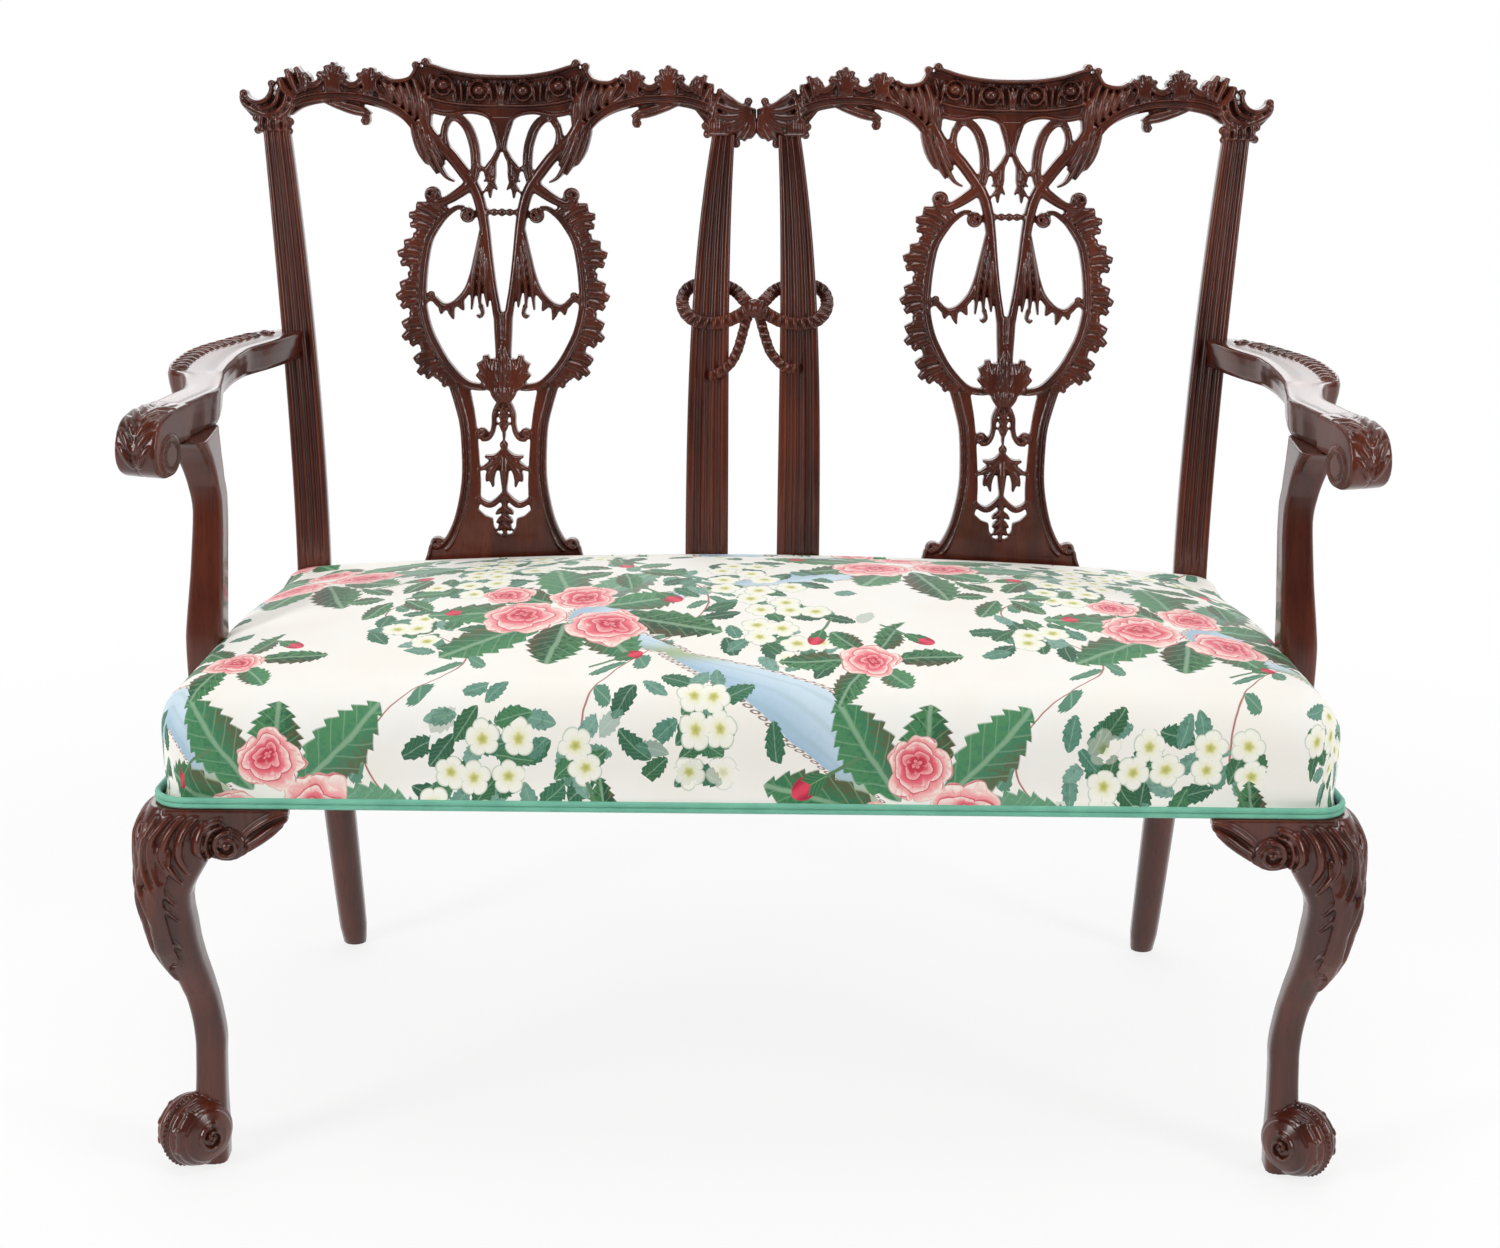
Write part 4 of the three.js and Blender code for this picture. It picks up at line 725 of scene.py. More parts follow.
def splat_ruffles(work):
    """The leaf ruffles outside the oval ring, parted by round notches."""
    for roots, tips in (
            ([(62, 873), (69, 867), (75, 860), (79, 853), (82, 846)],
             [(83, 881), (95, 879), (103, 868), (102, 857), (95, 849)]),
            ([(84, 840), (86, 832), (88, 824), (89, 816), (90, 808)],
             [(99, 845), (109, 837), (116, 825), (113, 814), (103, 808)]),
            ([(90.5, 799), (91.5, 790), (92, 782), (92, 774), (91.5, 765)],
             [(105, 801), (114, 790), (118, 777), (113, 766), (103, 762)]),
            ([(90, 756), (88.5, 749), (86.5, 742), (84, 735), (81, 727)],
             [(104, 757), (112, 746), (111.5, 731), (103, 724), (92, 723)]),
            ([(78, 719), (75, 713), (71, 706), (67, 700), (62, 695)],
             [(92, 719), (99, 706), (95, 692), (86, 687), (77, 688)]),
            ([(58, 691), (54, 687), (50, 684)], [(72, 684), (68, 678), (59, 676)])):
        work.ruffle(roots, tips, 7.0, 2.6, bow=0.1)


def splat_leaves(work):
    """The acanthus on the main strap, above and below, the fronds in the middle and the palmette."""
    for points in (
            [(98, 972), (96, 957), (91, 940), (83, 924)], [(92.5, 971), (88, 951), (81, 932), (71, 913)],
            [(86.5, 967), (80, 946), (71.5, 927), (62, 911), (52, 905)], [(80, 959), (72, 939), (63, 923)]):
        work.stroke(points, [4, 6.8, 7.2, 6.6, 2.4], [9, 12.4, 13, 11.4, 6.5], low=1)
    for points in ([(94, 950), (93, 941), (88, 936)], [(86, 935), (84, 927), (78, 922)]):
        work.stroke(points, [4, 5, 1.6], [8, 9, 5], low=1)
    for points in ([(23, 848), (28, 820), (32.5, 794), (34, 774), (35, 764)], [(21, 842), (23.6, 812),
                                                                               (26, 786), (25.4, 766)],
                   [(18.5, 832), (18.6, 806), (18.6, 786), (17, 767)]):
        work.stroke(points, [3, 5.2, 6.4, 5.8, 2.2], [8.8, 11.4, 12, 10.4, 6.6], low=1)
    work.stroke([(25, 769), (22.5, 760), (26, 756), (29, 759)], [6, 5, 4.4, 3], [9, 8.4, 7.6])
    # the tapering middle panel and its two fronds
    work.board([(0, 976), (14, 976), (9, 962), (5.6, 950), (4.6, 940), (0, 940)], 5)
    work.stroke([(13, 975), (8.6, 962), (4.8, 950), (3.6, 940), (8, 930), (15.6, 919), (17, 910)],
                [3.6, 3.6, 4, 5, 7.5, 8, 4], [7.8, 8, 8, 8, 8.4, 7], low=2)
    work.stroke([(5, 939), (9.5, 925), (10.4, 910), (13, 898), (13, 887)], [4, 7.5, 8.5, 8, 2],
                [7.6, 8.8, 9, 8, 5], low=2, section=LEAF)
    work.stroke([(12, 921), (19, 918.5), (24, 921), (30, 926)], [5, 6, 6, 5], 7.4, low=2)
    for tip, root in (((20.5, 893), (12, 903)), ((20, 905), (12, 912)), ((5.5, 896), (11, 906))):
        work.stroke([root, tip], [6.5, 2], [7.8, 4.8])
    # the palmette: a pointed leaf between two round ones, over a cup
    work.stroke(
        [(0, 672), (0, 694), (0, 712), (0, 732)], [8, 12, 11, 1.5], [10, 12, 12, 8], low=4, section=LEAF)
    work.ruffle(
        [(4, 676), (6, 677), (8, 677), (9, 675), (9, 672)], [(9, 710), (20, 714), (27.5, 706), (29, 694),
                                                             (24, 683)], 11, 4, bow=[-0.1, 0.06],
        notch=0.12)
    work.board([(0, 660), (9, 664), (14, 672), (15, 682), (8, 686), (0, 688)], 6)
    for x in (2.4, 7.6, 12):
        work.stroke([(x * 0.5, 661), (x, 671), (x * 1.1, 683)], [3, 5, 4], [9, 12.4, 9], low=6)


def splat_pendant(work):
    """The husk, the three-lobed leaf and the bud that hang down the middle of the base."""
    work.stroke([(1, 664), (6, 659), (10.4, 648), (11, 637), (13, 627), (18, 620), (25, 619)],
                [4, 6.4, 6.6, 6, 6, 6, 5], [7, 9.4, 9.6, 9, 8.4, 7.6], low=2.4)
    work.volute((24.6, 625.6), 5.6, 1.05, -90, 1, 3.4, 8)
    for z in (652, 643, 634):
        work.stroke([(0, z - 7), (2.4, z - 1), (5.4, z + 4)], [3.6, 5, 2.4], [7.6, 8.8, 6.4], low=2)
    work.stroke([(0, 662), (0, 640), (0, 619)], [5, 6, 3], 6, low=2)
    work.bead(0, 613, 3.8, 5.2)
    for line in ([(0, 609), (6, 601), (13, 598), (22, 600)], [(2, 604), (11, 595), (20, 588), (29, 584)],
                 [(3, 598), (10, 588), (14, 577), (12.5, 565)], [(5, 594), (13, 586), (18, 579),
                                                                 (20, 571)]):
        work.stroke(line, [5, 7.6, 7.4, 2.4], [7, 9.8, 9.2, 6], low=2.4)
    work.stroke([(0, 606), (0, 586), (0, 560)], [8, 11, 5], [8.6, 10.8, 8], low=2.4)
    work.stroke([(0, 570), (0, 545), (0, 509)], [6.4, 7, 4.4], 6.8, low=2)
    work.stroke([(2, 557), (8, 549.5), (16, 544.5), (24, 547), (30, 553)], [5, 7, 7.6, 7, 5],
                [7, 8.8, 8.4, 6.6], low=2)
    for z, reach in ((541, 10), (531, 9), (522, 6.4)):
        work.stroke([(0, z), (5, z - 3), (reach, z - 7)], [5.4, 6.6, 2.4], [8, 9.4, 6], low=2)


def splat_base(work):
    """The waisted sides of the base, with moulded edges and corner scrolls."""
    work.board(
        [(61, 683), (54, 660), (49, 634), (47.5, 600), (48, 575), (51, 552), (57, 525), (66, 505),
         (80, 494), (89, 473), (0, 473), (0, 509), (8, 512), (12.4, 520), (13.4, 529), (22, 532),
         (29.6, 539), (27, 548), (26.5, 570), (28, 600), (30, 629), (33, 652), (38, 678)], 3.6)
    outer = [(61, 685), (53.5, 660), (47.6, 634), (45.6, 600), (46, 575), (49.6, 550), (56, 525), (65, 506),
             (73, 497)]
    work.stroke(outer, [5, 4.6, 4.6, 4.6, 5], [6.8, 8, 8.2, 8], low=1)
    work.stroke([(x - 6.6, z - (4 if z < 510 else 0)) for x, z in outer], [2.6, 2.6, 2.6, 2.6],
                [4.8, 5.6, 5.8, 5.6], low=2)
    work.volute((76.5, 499.5), 7, 1.15, 150, -1, 4, 7.8)
    work.stroke([(84, 497), (85.5, 488), (89, 477)], [4.4, 5.4, 6], [5.6, 6.4, 6])


class SETTEE_OT_splats(bpy.types.Operator):
    """Carves the two pierced splats"""

    bl_idname = "settee.splats"
    bl_label = "Carve the splats"

    def execute(self, context):
        work = Carving(back_place(SPLAT_FOOT))
        carve_splat(work)
        left = work.finish("carved_splat_left", carving_voxel())
        keep_both(left, "carved_splat", "splat")
        return {"FINISHED"}


# Crest rails

def carve_crest(work):
    """The crest rail of the left chair back. Its outer end is at minus x."""
    for side in (1, -1):
        work.side = side
        crest_rail(work)
        crest_yoke(work)
        crest_leaves(work)
    work.side = 1
    crest_outer_end(work)
    crest_inner_end(work)


def crest_rail(work):
    """The body of the rail and the moulding of its arch."""
    work.board(
        [(0, 1014), (28, 1015), (55, 1019), (74, 1025), (80, 1029), (90, 1026), (96, 1018), (110, 1011),
         (126, 1013), (136, 1010), (150, 1008), (164, 1003), (175, 1006), (183, 1008), (193, 1006),
         (207, 1003), (220, 1004), (232, 1000), (238, 990), (232, 980), (222, 986), (207, 990), (190, 992),
         (165, 992), (148, 990), (127, 984), (110, 975), (97, 962), (88, 950), (76, 956), (78, 979),
         (56, 976), (34, 979), (12, 974), (5, 966), (3, 950), (0, 950)], 4)
    work.board(
        [(124, 1008), (136, 1008), (150, 1003), (164, 1007), (183, 1008), (207, 1006), (222, 1004),
         (234, 998), (236, 986), (222, 990), (207, 995), (190, 997), (165, 997), (148, 995), (128, 989)], 8)
    arch = [(241, 966), (234, 981), (222, 989), (207, 993.5), (190, 995.5), (165, 995.5), (148, 993.5),
            (127, 987.5), (110, 978.5), (98, 967), (89, 953)]
    work.stroke(arch, [8, 9, 9, 9, 9], [11.5, 13.5, 13.5, 13, 12.5], low=4, section=LIPPED)
    work.stroke([(x * 0.985, z - 6.2) for x, z in arch[1:-1]], 3, [7, 8, 8, 7], low=2)


def crest_yoke(work):
    """The raised middle: a rounded lip, a band of cabochons in rings, a cove and a scrolled lower edge."""
    work.stroke([(84, 1031), (74, 1029), (55, 1023), (28, 1018.6), (0, 1017.6)], [4, 5.4, 5.8, 5.8],
                [12, 14.6, 15, 15], low=6)
    work.stroke([(92, 1000), (72, 992.4), (46, 988), (22, 986.6), (0, 986.6)], [3, 3.2, 3.2, 3.2],
                [8, 9.6, 9.6], low=3, back=-6)
    for x, z, radius in ((24, 1003, 7.2), (63, 1008.5, 7.2)):
        work.bead(x, z, 6, radius, tall=0.86, deep=1.0)
        work.stroke(spiral((x, z), radius + 3, radius + 2.6, 0.8, -55, 1), 2.8, 10.6, low=3, back=-6)
        work.stroke(
            [(x - 7, z - 8.6), (x, z - 10.6), (x + 8, z - 8.6)], [2, 3.6, 2], [8, 10.6, 8], low=3, back=-6)
    for x in (-3.6, 0, 3.6):
        work.stroke(
            [(x * 0.6, 990), (x, 1002), (x * 1.6, 1012)], [2.4, 3.4, 2.6], [8, 11, 9], low=3, back=-6)
    for x, lean in ((10, 4), (37, -3), (43, 1), (49, 5), (77, -2), (82, 4)):
        lift = max(0, x - 40) * 0.16
        work.stroke([(x, 991 + lift), (x + lean * 0.2, 1001 + lift), (x + lean, 1012 + lift)],
                    [2.4, 4.2, 3], [8, 11.4, 9.6], low=3, back=-6)
    work.stroke([(88, 986), (76, 980), (58, 976.6), (36, 979.4), (20, 977), (12, 972), (7, 963),
                 (4.6, 950)], [5, 5, 4.6, 4.6, 4.2], [8, 9, 9, 8.6], low=2)
    for x, z, radius in ((92.5, 1029.5, 4.6), (82, 1033, 4.8)):
        work.disc((x, z), radius, 9)
        work.bead(x, z, 9, radius)
    work.stroke([(93, 1025), (99, 1016), (110, 1012.6), (120, 1013), (127, 1017)], [5, 5.4, 5.4, 5],
                [12, 13, 13, 12], low=5)


def crest_leaves(work):
    """The slanting pleats beside the yoke, the shells along the top and the leaf below the arch."""
    for a, b, c in (((130, 1012), (123, 1003), (119, 990)), ((121, 1009), (114, 998), (110, 985)),
                    ((111, 1008), (105, 995), (102, 979)), ((103, 1010), (97, 994), (94.6, 972)),
                    ((95, 1014), (89, 996), (87, 966)), ((86, 1000), (81, 985), (80, 962))):
        work.stroke([a, b, c], [5, 8.4, 8.4, 5], [10, 13, 12.4, 8.6], low=3.6, back=-10)
    # the small shell next to the sweep and the large one in the middle flare between C-shaped notches
    work.ruffle(
        [(150, 999), (147, 999), (143.5, 998.5), (140, 998)], [(157, 1020), (149.5, 1025.5),
                                                               (140.5, 1026.5), (130, 1020)], 12.6, 5,
        bow=[0.24, -0.2], notch=0.24)
    work.ruffle([(190, 1000), (186.5, 1000), (183, 1000), (179.5, 1000), (176, 1000)],
                [(200.5, 1020), (191.5, 1028), (183, 1032), (174.5, 1027.5), (168.5, 1019)],
                14, 5.5, bow=[0.26, -0.26], notch=0.24)
    for x, radius, start, turn in ((162.6, 7.4, 175, 190), (207.6, 8.4, 172, 196)):
        work.notch((x, 1018.5), radius, start, turn, 13, 5)
    work.stroke([(136, 1016), (137, 1006), (131, 997), (122, 992)], [5, 6, 6, 4], [12, 13, 12, 9], low=5)
    # the leaf below the arch, which ends in a curl
    work.board(
        [(196, 993), (184, 986), (172, 981), (160, 977.5), (153, 975), (152, 980), (160, 990)], 5, -9)
    for line in ([(198, 992), (184, 986), (170, 981), (159, 977.6), (151, 976), (145.6, 971.4), (147, 966),
                  (152, 966)], [(186, 991), (172, 987), (160, 984), (150, 981), (143, 976)]):
        work.stroke(line, [4, 6, 7, 6, 3.4], [9, 12, 12.4, 11, 8], low=4, back=-9)
    work.bead(151, 969, 5, 3.4)


def crest_outer_end(work):
    """The nested scrolls that sweep up from the ear at the outer end, and the capital below them."""
    work.board([(-206, 992), (-208, 1004), (-228, 1008), (-242, 1001), (-252, 990), (-266, 988),
                (-278, 990), (-284, 984), (-274, 973), (-262, 968), (-240, 966), (-232, 982)], 5)
    work.ruffle([(-214, 1000), (-218, 999), (-222, 997), (-226, 993)],
                [(-216, 1020), (-224.5, 1026), (-234.5, 1024), (-242, 1015)],
                13, 5, bow=[-0.24, 0.12], notch=0.24)
    for line in ([(-284, 995), (-282, 987), (-273, 980), (-262, 975), (-250, 971), (-240, 968)],
                 [(-281, 997), (-275, 990), (-266, 987.5), (-257, 991), (-252, 998), (-251, 1007)],
                 [(-274, 984), (-262, 981), (-251, 984), (-245, 992), (-243, 1003)],
                 [(-264, 976), (-250, 976), (-240, 982), (-235, 992), (-235, 1006)],
                 [(-248, 970), (-238, 974), (-230, 983), (-227, 996)]):
        work.stroke(line, [5, 6.4, 6.8, 6.4, 4.4], [11, 13, 13.4, 13, 11], low=4.6)
    for x, z, radius in ((-281.5, 997.5, 4.8), (-250.6, 1008, 4.6)):
        work.disc((x, z), radius * 0.8, 6)
        work.bead(x, z, 6.5, radius)
    capital(work, -249.6, 17.2, ((-268, 971), (-231, 967), (-266.5, 958), (-232.5, 957)))


def capital(work, middle, half, knobs):
    """A small leafed capital over a post."""
    work.board([(middle - half, 955), (middle - half - 1, 972), (middle - half + 7, 979),
                (middle + half - 7, 979), (middle + half + 1, 970), (middle + half, 955)], 8)
    for x, z in knobs:
        work.bead(x, z, 6.5, 4.8)
    for i in range(4):
        x = middle + (i - 1.5) * half * 0.52
        work.stroke([(x, 956), (x, 964), (x, 975)], [6.4, 7, 4], [11, 13.6, 11], low=8)
    work.stroke([(middle - half, 957.5), (middle + half, 957.5)], 4, 14, low=8)


def crest_inner_end(work):
    """The fans at the inner end, over the two middle stiles."""
    work.board(
        [(206, 992), (208, 1006), (222, 1008), (229, 1000), (238, 1003), (246, 992), (258, 987.5),
         (270, 987.5), (279.7, 986), (279.7, 962), (270, 955), (257, 950), (246, 952), (232, 960),
         (222, 972)], 5)
    work.ruffle([(214, 1000), (218, 998), (222, 995)],
                [(216, 1020.5), (224, 1022), (230, 1013)], 12.8, 5, bow=[0.24, -0.1], notch=0.24)
    work.stroke([(240, 1003), (236, 992), (233, 980), (231, 966)], [5, 8, 8, 5], [11, 13, 13, 10], low=5)
    work.stroke([(231, 1003), (229, 992), (227, 982)], [4, 7, 5], [10, 12.4, 10], low=5)
    work.ruffle(
        [(277, 986), (276, 985.4), (275, 984.6), (274.4, 983.6), (274.4, 982.4), (275, 981.2), (276, 980.4),
         (277.4, 980)], [(243, 1001), (237, 990), (236, 978), (239.5, 967), (247, 958.5), (256, 952.5),
                         (265, 951.5), (274, 956)], 13.6, 5.5, bow=0.1)
    work.stroke([(240, 1003), (247, 993), (256, 988.6), (266, 989), (271, 992)], [4, 5, 5, 4.4],
                [11, 12.4, 12], low=5)
    for x, z, radius in ((240, 1004, 4.2), (271, 994, 4.8), (258, 948, 5), (273, 957, 4.2),
                         (224, 967, 4.8)):
        work.disc((x, z), radius * 0.8, 5)
        work.bead(x, z, 6.5, radius)
    capital(work, 238, 11, ((226, 958), (250, 957)))


class SETTEE_OT_crests(bpy.types.Operator):
    """Carves the two crest rails"""

    bl_idname = "settee.crests"
    bl_label = "Carve the crest rails"

    def execute(self, context):
        work = Carving(back_place(CREST_FOOT), CREST_BACK)
        carve_crest(work)
        left = work.finish("carved_crest_left", carving_voxel())
        keep_both(left, "carved_crest", "crest_rail")
        return {"FINISHED"}


# Fluted posts and stiles

def stile_section(half, depth, flute, square):
    """The section of a fluted post, across and out to the front. It is round where square is 0."""
    ring = []
    for i in range(33):
        u = -1 + i / 16
        groove = max(
            math.cos(math.pi * (u - c) / 0.4) if abs(u - c) < 0.2 else 0 for c in (-0.46, 0, 0.46)) ** 0.7
        bead = max(0, math.cos(math.pi * (abs(u) - 0.8) / 0.3)) if abs(abs(u) - 0.8) < 0.15 else 0
        edge = max(0, abs(u) - 0.93) / 0.07
        ring.append((u * half, depth - flute * groove + 0.7 * bead * (flute > 0) - 1.8 * edge * edge))
    ring += [(half, depth * 0.4), (half * 0.94, -depth * 0.4), (half * 0.84, -depth * 0.86),
             (half * 0.76, -depth)]
    ring += [(half * 0.4, -depth), (0, -depth), (-half * 0.4, -depth)]
    ring += [(-half * 0.76, -depth), (-half * 0.84, -depth * 0.86), (-half * 0.94, -depth * 0.4),
             (-half, depth * 0.4)]
    if square < 1:
        mixed = []
        for x, out in ring:
            size = math.hypot(x / half, out / depth)
            mixed.append((x + (x / size - x) * (1 - square), out + (out / size - out) * (1 - square)))
        return mixed
    return ring


def rear_post(target):
    """The left rear post: fluted above the seat and a round raked leg below it."""
    rings = []
    for i in range(19):
        z = RAIL_BOTTOM * i / 18
        share = z / RAIL_TOP_MM
        x = -(SEAT_REAR_HALF - POST_HALF - POST_SPLAY * (1 - share))
        y = POST_RAKE * (1 - share) ** 2
        radius = 15.3 + 4.7 * min(1, (z / RAIL_BOTTOM) / 0.75) ** 0.6 - (1.6 if i == 0 else 0)
        square = max(0.0, (z / RAIL_BOTTOM - 0.86) / 0.14)
        half = radius + (POST_HALF - radius) * square
        deep = radius + (STILE_STAND - radius) * square
        rings.append([Vector((x + a, BACK_Y / MM + y - out, z)) * MM for a, out in
                      stile_section(half, deep, 0, square)])
    place = back_place(0, 0)
    for i in range(31):
        share = i / 30
        h = share * POST_HEIGHT
        half = POST_HALF - (POST_HALF - 14.5) * share ** 3
        x = -(SEAT_REAR_HALF - POST_HALF + 30.5 * share ** 1.6)
        flute = 3.5 * min(1.0, max(0.0, (share - 0.03) / 0.05))
        rings.append([place(x + a, h, out) for a, out in stile_section(half, STILE_STAND, flute, 1)])
    sweep(target, rings)


def centre_stile(target):
    """The left one of the two middle stiles."""
    rings = []
    place = back_place(0, 0)
    for i in range(31):
        share = i / 30
        h = 0.3 + share * (POST_HEIGHT - 0.3)
        x = -(51.5 - 15.5 * share ** 3.6)
        half = 24 - 11.5 * share ** 2.5
        flute = 3.7 * min(1.0, max(0.0, (share - 0.02) / 0.05))
        rings.append([place(x + a, h, out) for a, out in stile_section(half, STILE_STAND, flute, 1)])
    sweep(target, rings)


class SETTEE_OT_posts(bpy.types.Operator):
    """Shapes the rear posts and the two middle stiles"""

    bl_idname = "settee.posts"
    bl_label = "Shape the posts and stiles"

    def execute(self, context):
        for maker, name, node in ((rear_post, "fluted_post", "rear_post"),
                                  (centre_stile, "fluted_stile", "centre_stile")):
            work = bmesh.new()
            maker(work)
            left = make_object(name + "_left", work)
            soften_edges(left, 0.9)
            left = settled(left, name + "_left_made")
            left.name = name + "_left"
            keep_both(left, name, node)
        return {"FINISHED"}


def soften_edges(piece, width):
    """Rounds a piece's sharp arrises a little."""
    bevel = piece.modifiers.new("Arris", "BEVEL")
    bevel.width = width * MM
    bevel.segments = 2
    bevel.limit_method = "ANGLE"
    bevel.angle_limit = math.radians(40)


# Ribbon bow

class SETTEE_OT_bow(bpy.types.Operator):
    """Carves the ribbon bow across the two middle stiles"""

    bl_idname = "settee.bow"
    bl_label = "Carve the ribbon bow"

    def execute(self, context):
        work = Carving(back_place(SPLAT_FOOT, 0))
        ahead, behind = 19.5, -18.5
        for side in (-1, 1):
            work.side = -side
            loop = [(-5, 773, ahead), (-12, 779, 12), (-20, 786, -4), (-30, 790, behind),
                    (-46, 792.5, behind), (-60, 793, behind), (-71, 790, behind), (-78, 784, -14),
                    (-80.5, 775, 2), (-77, 765, 15), (-68, 757, ahead), (-54, 753.5, ahead),
                    (-38, 754, ahead), (-25, 758, ahead), (-14, 764, ahead), (-6, 769, ahead)]
            ribbon(work, loop, 14.5)
        work.side = 1
        for tail in ([(-7, 762), (-11, 750), (-15, 735), (-19, 722), (-26, 709), (-36, 700), (-49, 694)],
                     [(5, 762), (9, 748), (13, 735), (18, 722), (27, 711), (37, 704), (46, 704)]):
            points = [(x, z, ahead - 3 if abs(x) < 12 else ahead) for x, z in tail]
            ribbon(work, points, 11)
        work.bead(0, 770, 20, 11.4, tall=0.98, deep=0.5)
        for x in (-6.6, 0, 6.6):
            work.stroke([(x * 1.2 - 1, 760.5), (x, 770), (x * 1.2 + 2, 779.5)], [3, 4.6, 3], [23, 27, 23],
                        low=20, back=16)
        bow = work.finish("carved_bow", carving_voxel() * 0.8)
        keep(bow, "carved_wood", carved_wood(), "ribbon_loop_left", "ribbon_loop_right", "ribbon_knot",
             "ribbon_tail_left", "ribbon_tail_right")
        return {"FINISHED"}


def ribbon(work, places, width):
    """A pleated ribbon through places (x, height, out): a band with a slanting fold at each pleat."""
    line = smooth_line([(x, z, out) for x, z, out in places], 2.2)
    flat = [(p.x, p.y) for p in line]
    fronts = [p.z - 1 for p in line]
    backs = [p.z - 4.4 for p in line]
    lows = [p.z - 1.6 for p in line]
    ends = [width * 0.62] + [width] * (len(line) - 2) + [width * 0.8]
    work.stroke(flat, ends, fronts, low=lows, back=backs, step=50)
    for i in range(2, len(line) - 1, 4):
        run = Vector((line[i + 1].x - line[i - 1].x, line[i + 1].y - line[i - 1].y)).normalized()
        over = Vector((-run.y, run.x)) * (width * 0.49) + run * 1.8
        middle, top = Vector((line[i].x, line[i].y)), line[i].z
        work.stroke([middle - over, middle, middle + over], [5, 6.6, 5], [top + 0.8, top + 3.6, top + 0.8],
                    low=top - 2.4, back=top - 3.6, step=3)


# Arms

def end_place(hub, ahead, way):
    """Where carving lies on a roll's end face: x ahead of its hub, height over it and relief outwards."""
    return lambda x, z, out: (hub + Vector((0, 0, z)) + ahead * x + way * out) * MM


class Roll(Track):
    """A strip of wood that runs forward and rolls down on itself, as at an arm's end.
    Its line is given in its own upright plane, as run and height, in millimetres."""

    def __init__(self, origin, direction, line):
        super().__init__(line, 1.5)
        self.origin = Vector(origin)
        self.ahead = Vector((direction[0], direction[1], 0)).normalized()
        self.across = Vector((self.ahead.y, -self.ahead.x, 0))

    def place(self, across, length, out):
        at, way = self.frame(length)
        p = at + way * out
        return (self.origin + self.ahead * p.x + Vector((0, 0, p.y)) + self.across * across) * MM

    def strip(self, target, widths, thick, section, steps=60):
        """The strip itself: its outer face follows the line."""
        total = self.lengths[-1]
        rings = []
        half_widths, depths = spread(widths, steps + 1), spread(thick, steps + 1)
        for i in range(steps + 1):
            length = total * i / steps
            ring = [self.place(share * half_widths[i], length, rise) for share, rise in section]
            ring += [self.place(share * half_widths[i], length, -depths[i]) for share in (1, -1)]
            rings.append(ring)
        sweep(target, rings)


def drum(target, centre, axis, radius, width):
    """A round disc or roller."""
    piece = bmesh.new()
    bmesh.ops.create_cone(
        piece, cap_ends=True, segments=40, radius1=radius * MM, radius2=radius * MM, depth=width * MM)
    turn = Vector(axis).to_track_quat("Z", "Y").to_matrix().to_4x4()
    bmesh.ops.transform(piece, matrix=Matrix.Translation(Vector(centre) * MM) @ turn, verts=piece.verts)
    append(target, piece)


ARM_PLAN = [
    (545, -519, -500), (530, -541, -502), (516, -555, -505.5), (490, -571, -514), (469, -581.5, -523),
    (448, -592, -534), (429, -600, -542), (405, -606, -546), (385, -608.5, -548), (347, -610.5, -549),
    (320, -608.5, -548.5), (306, -604, -547.5), (298, -594, -546), (291, -588, -545), (275, -583, -542.5),
    (259, -579.5, -540.5), (240, -576, -538), (221, -575, -537), (205, -579, -540), (190, -583.5, -545),
    (160, -591, -553.5), (140, -596.5, -561), (124, -602.5, -566.5),
]


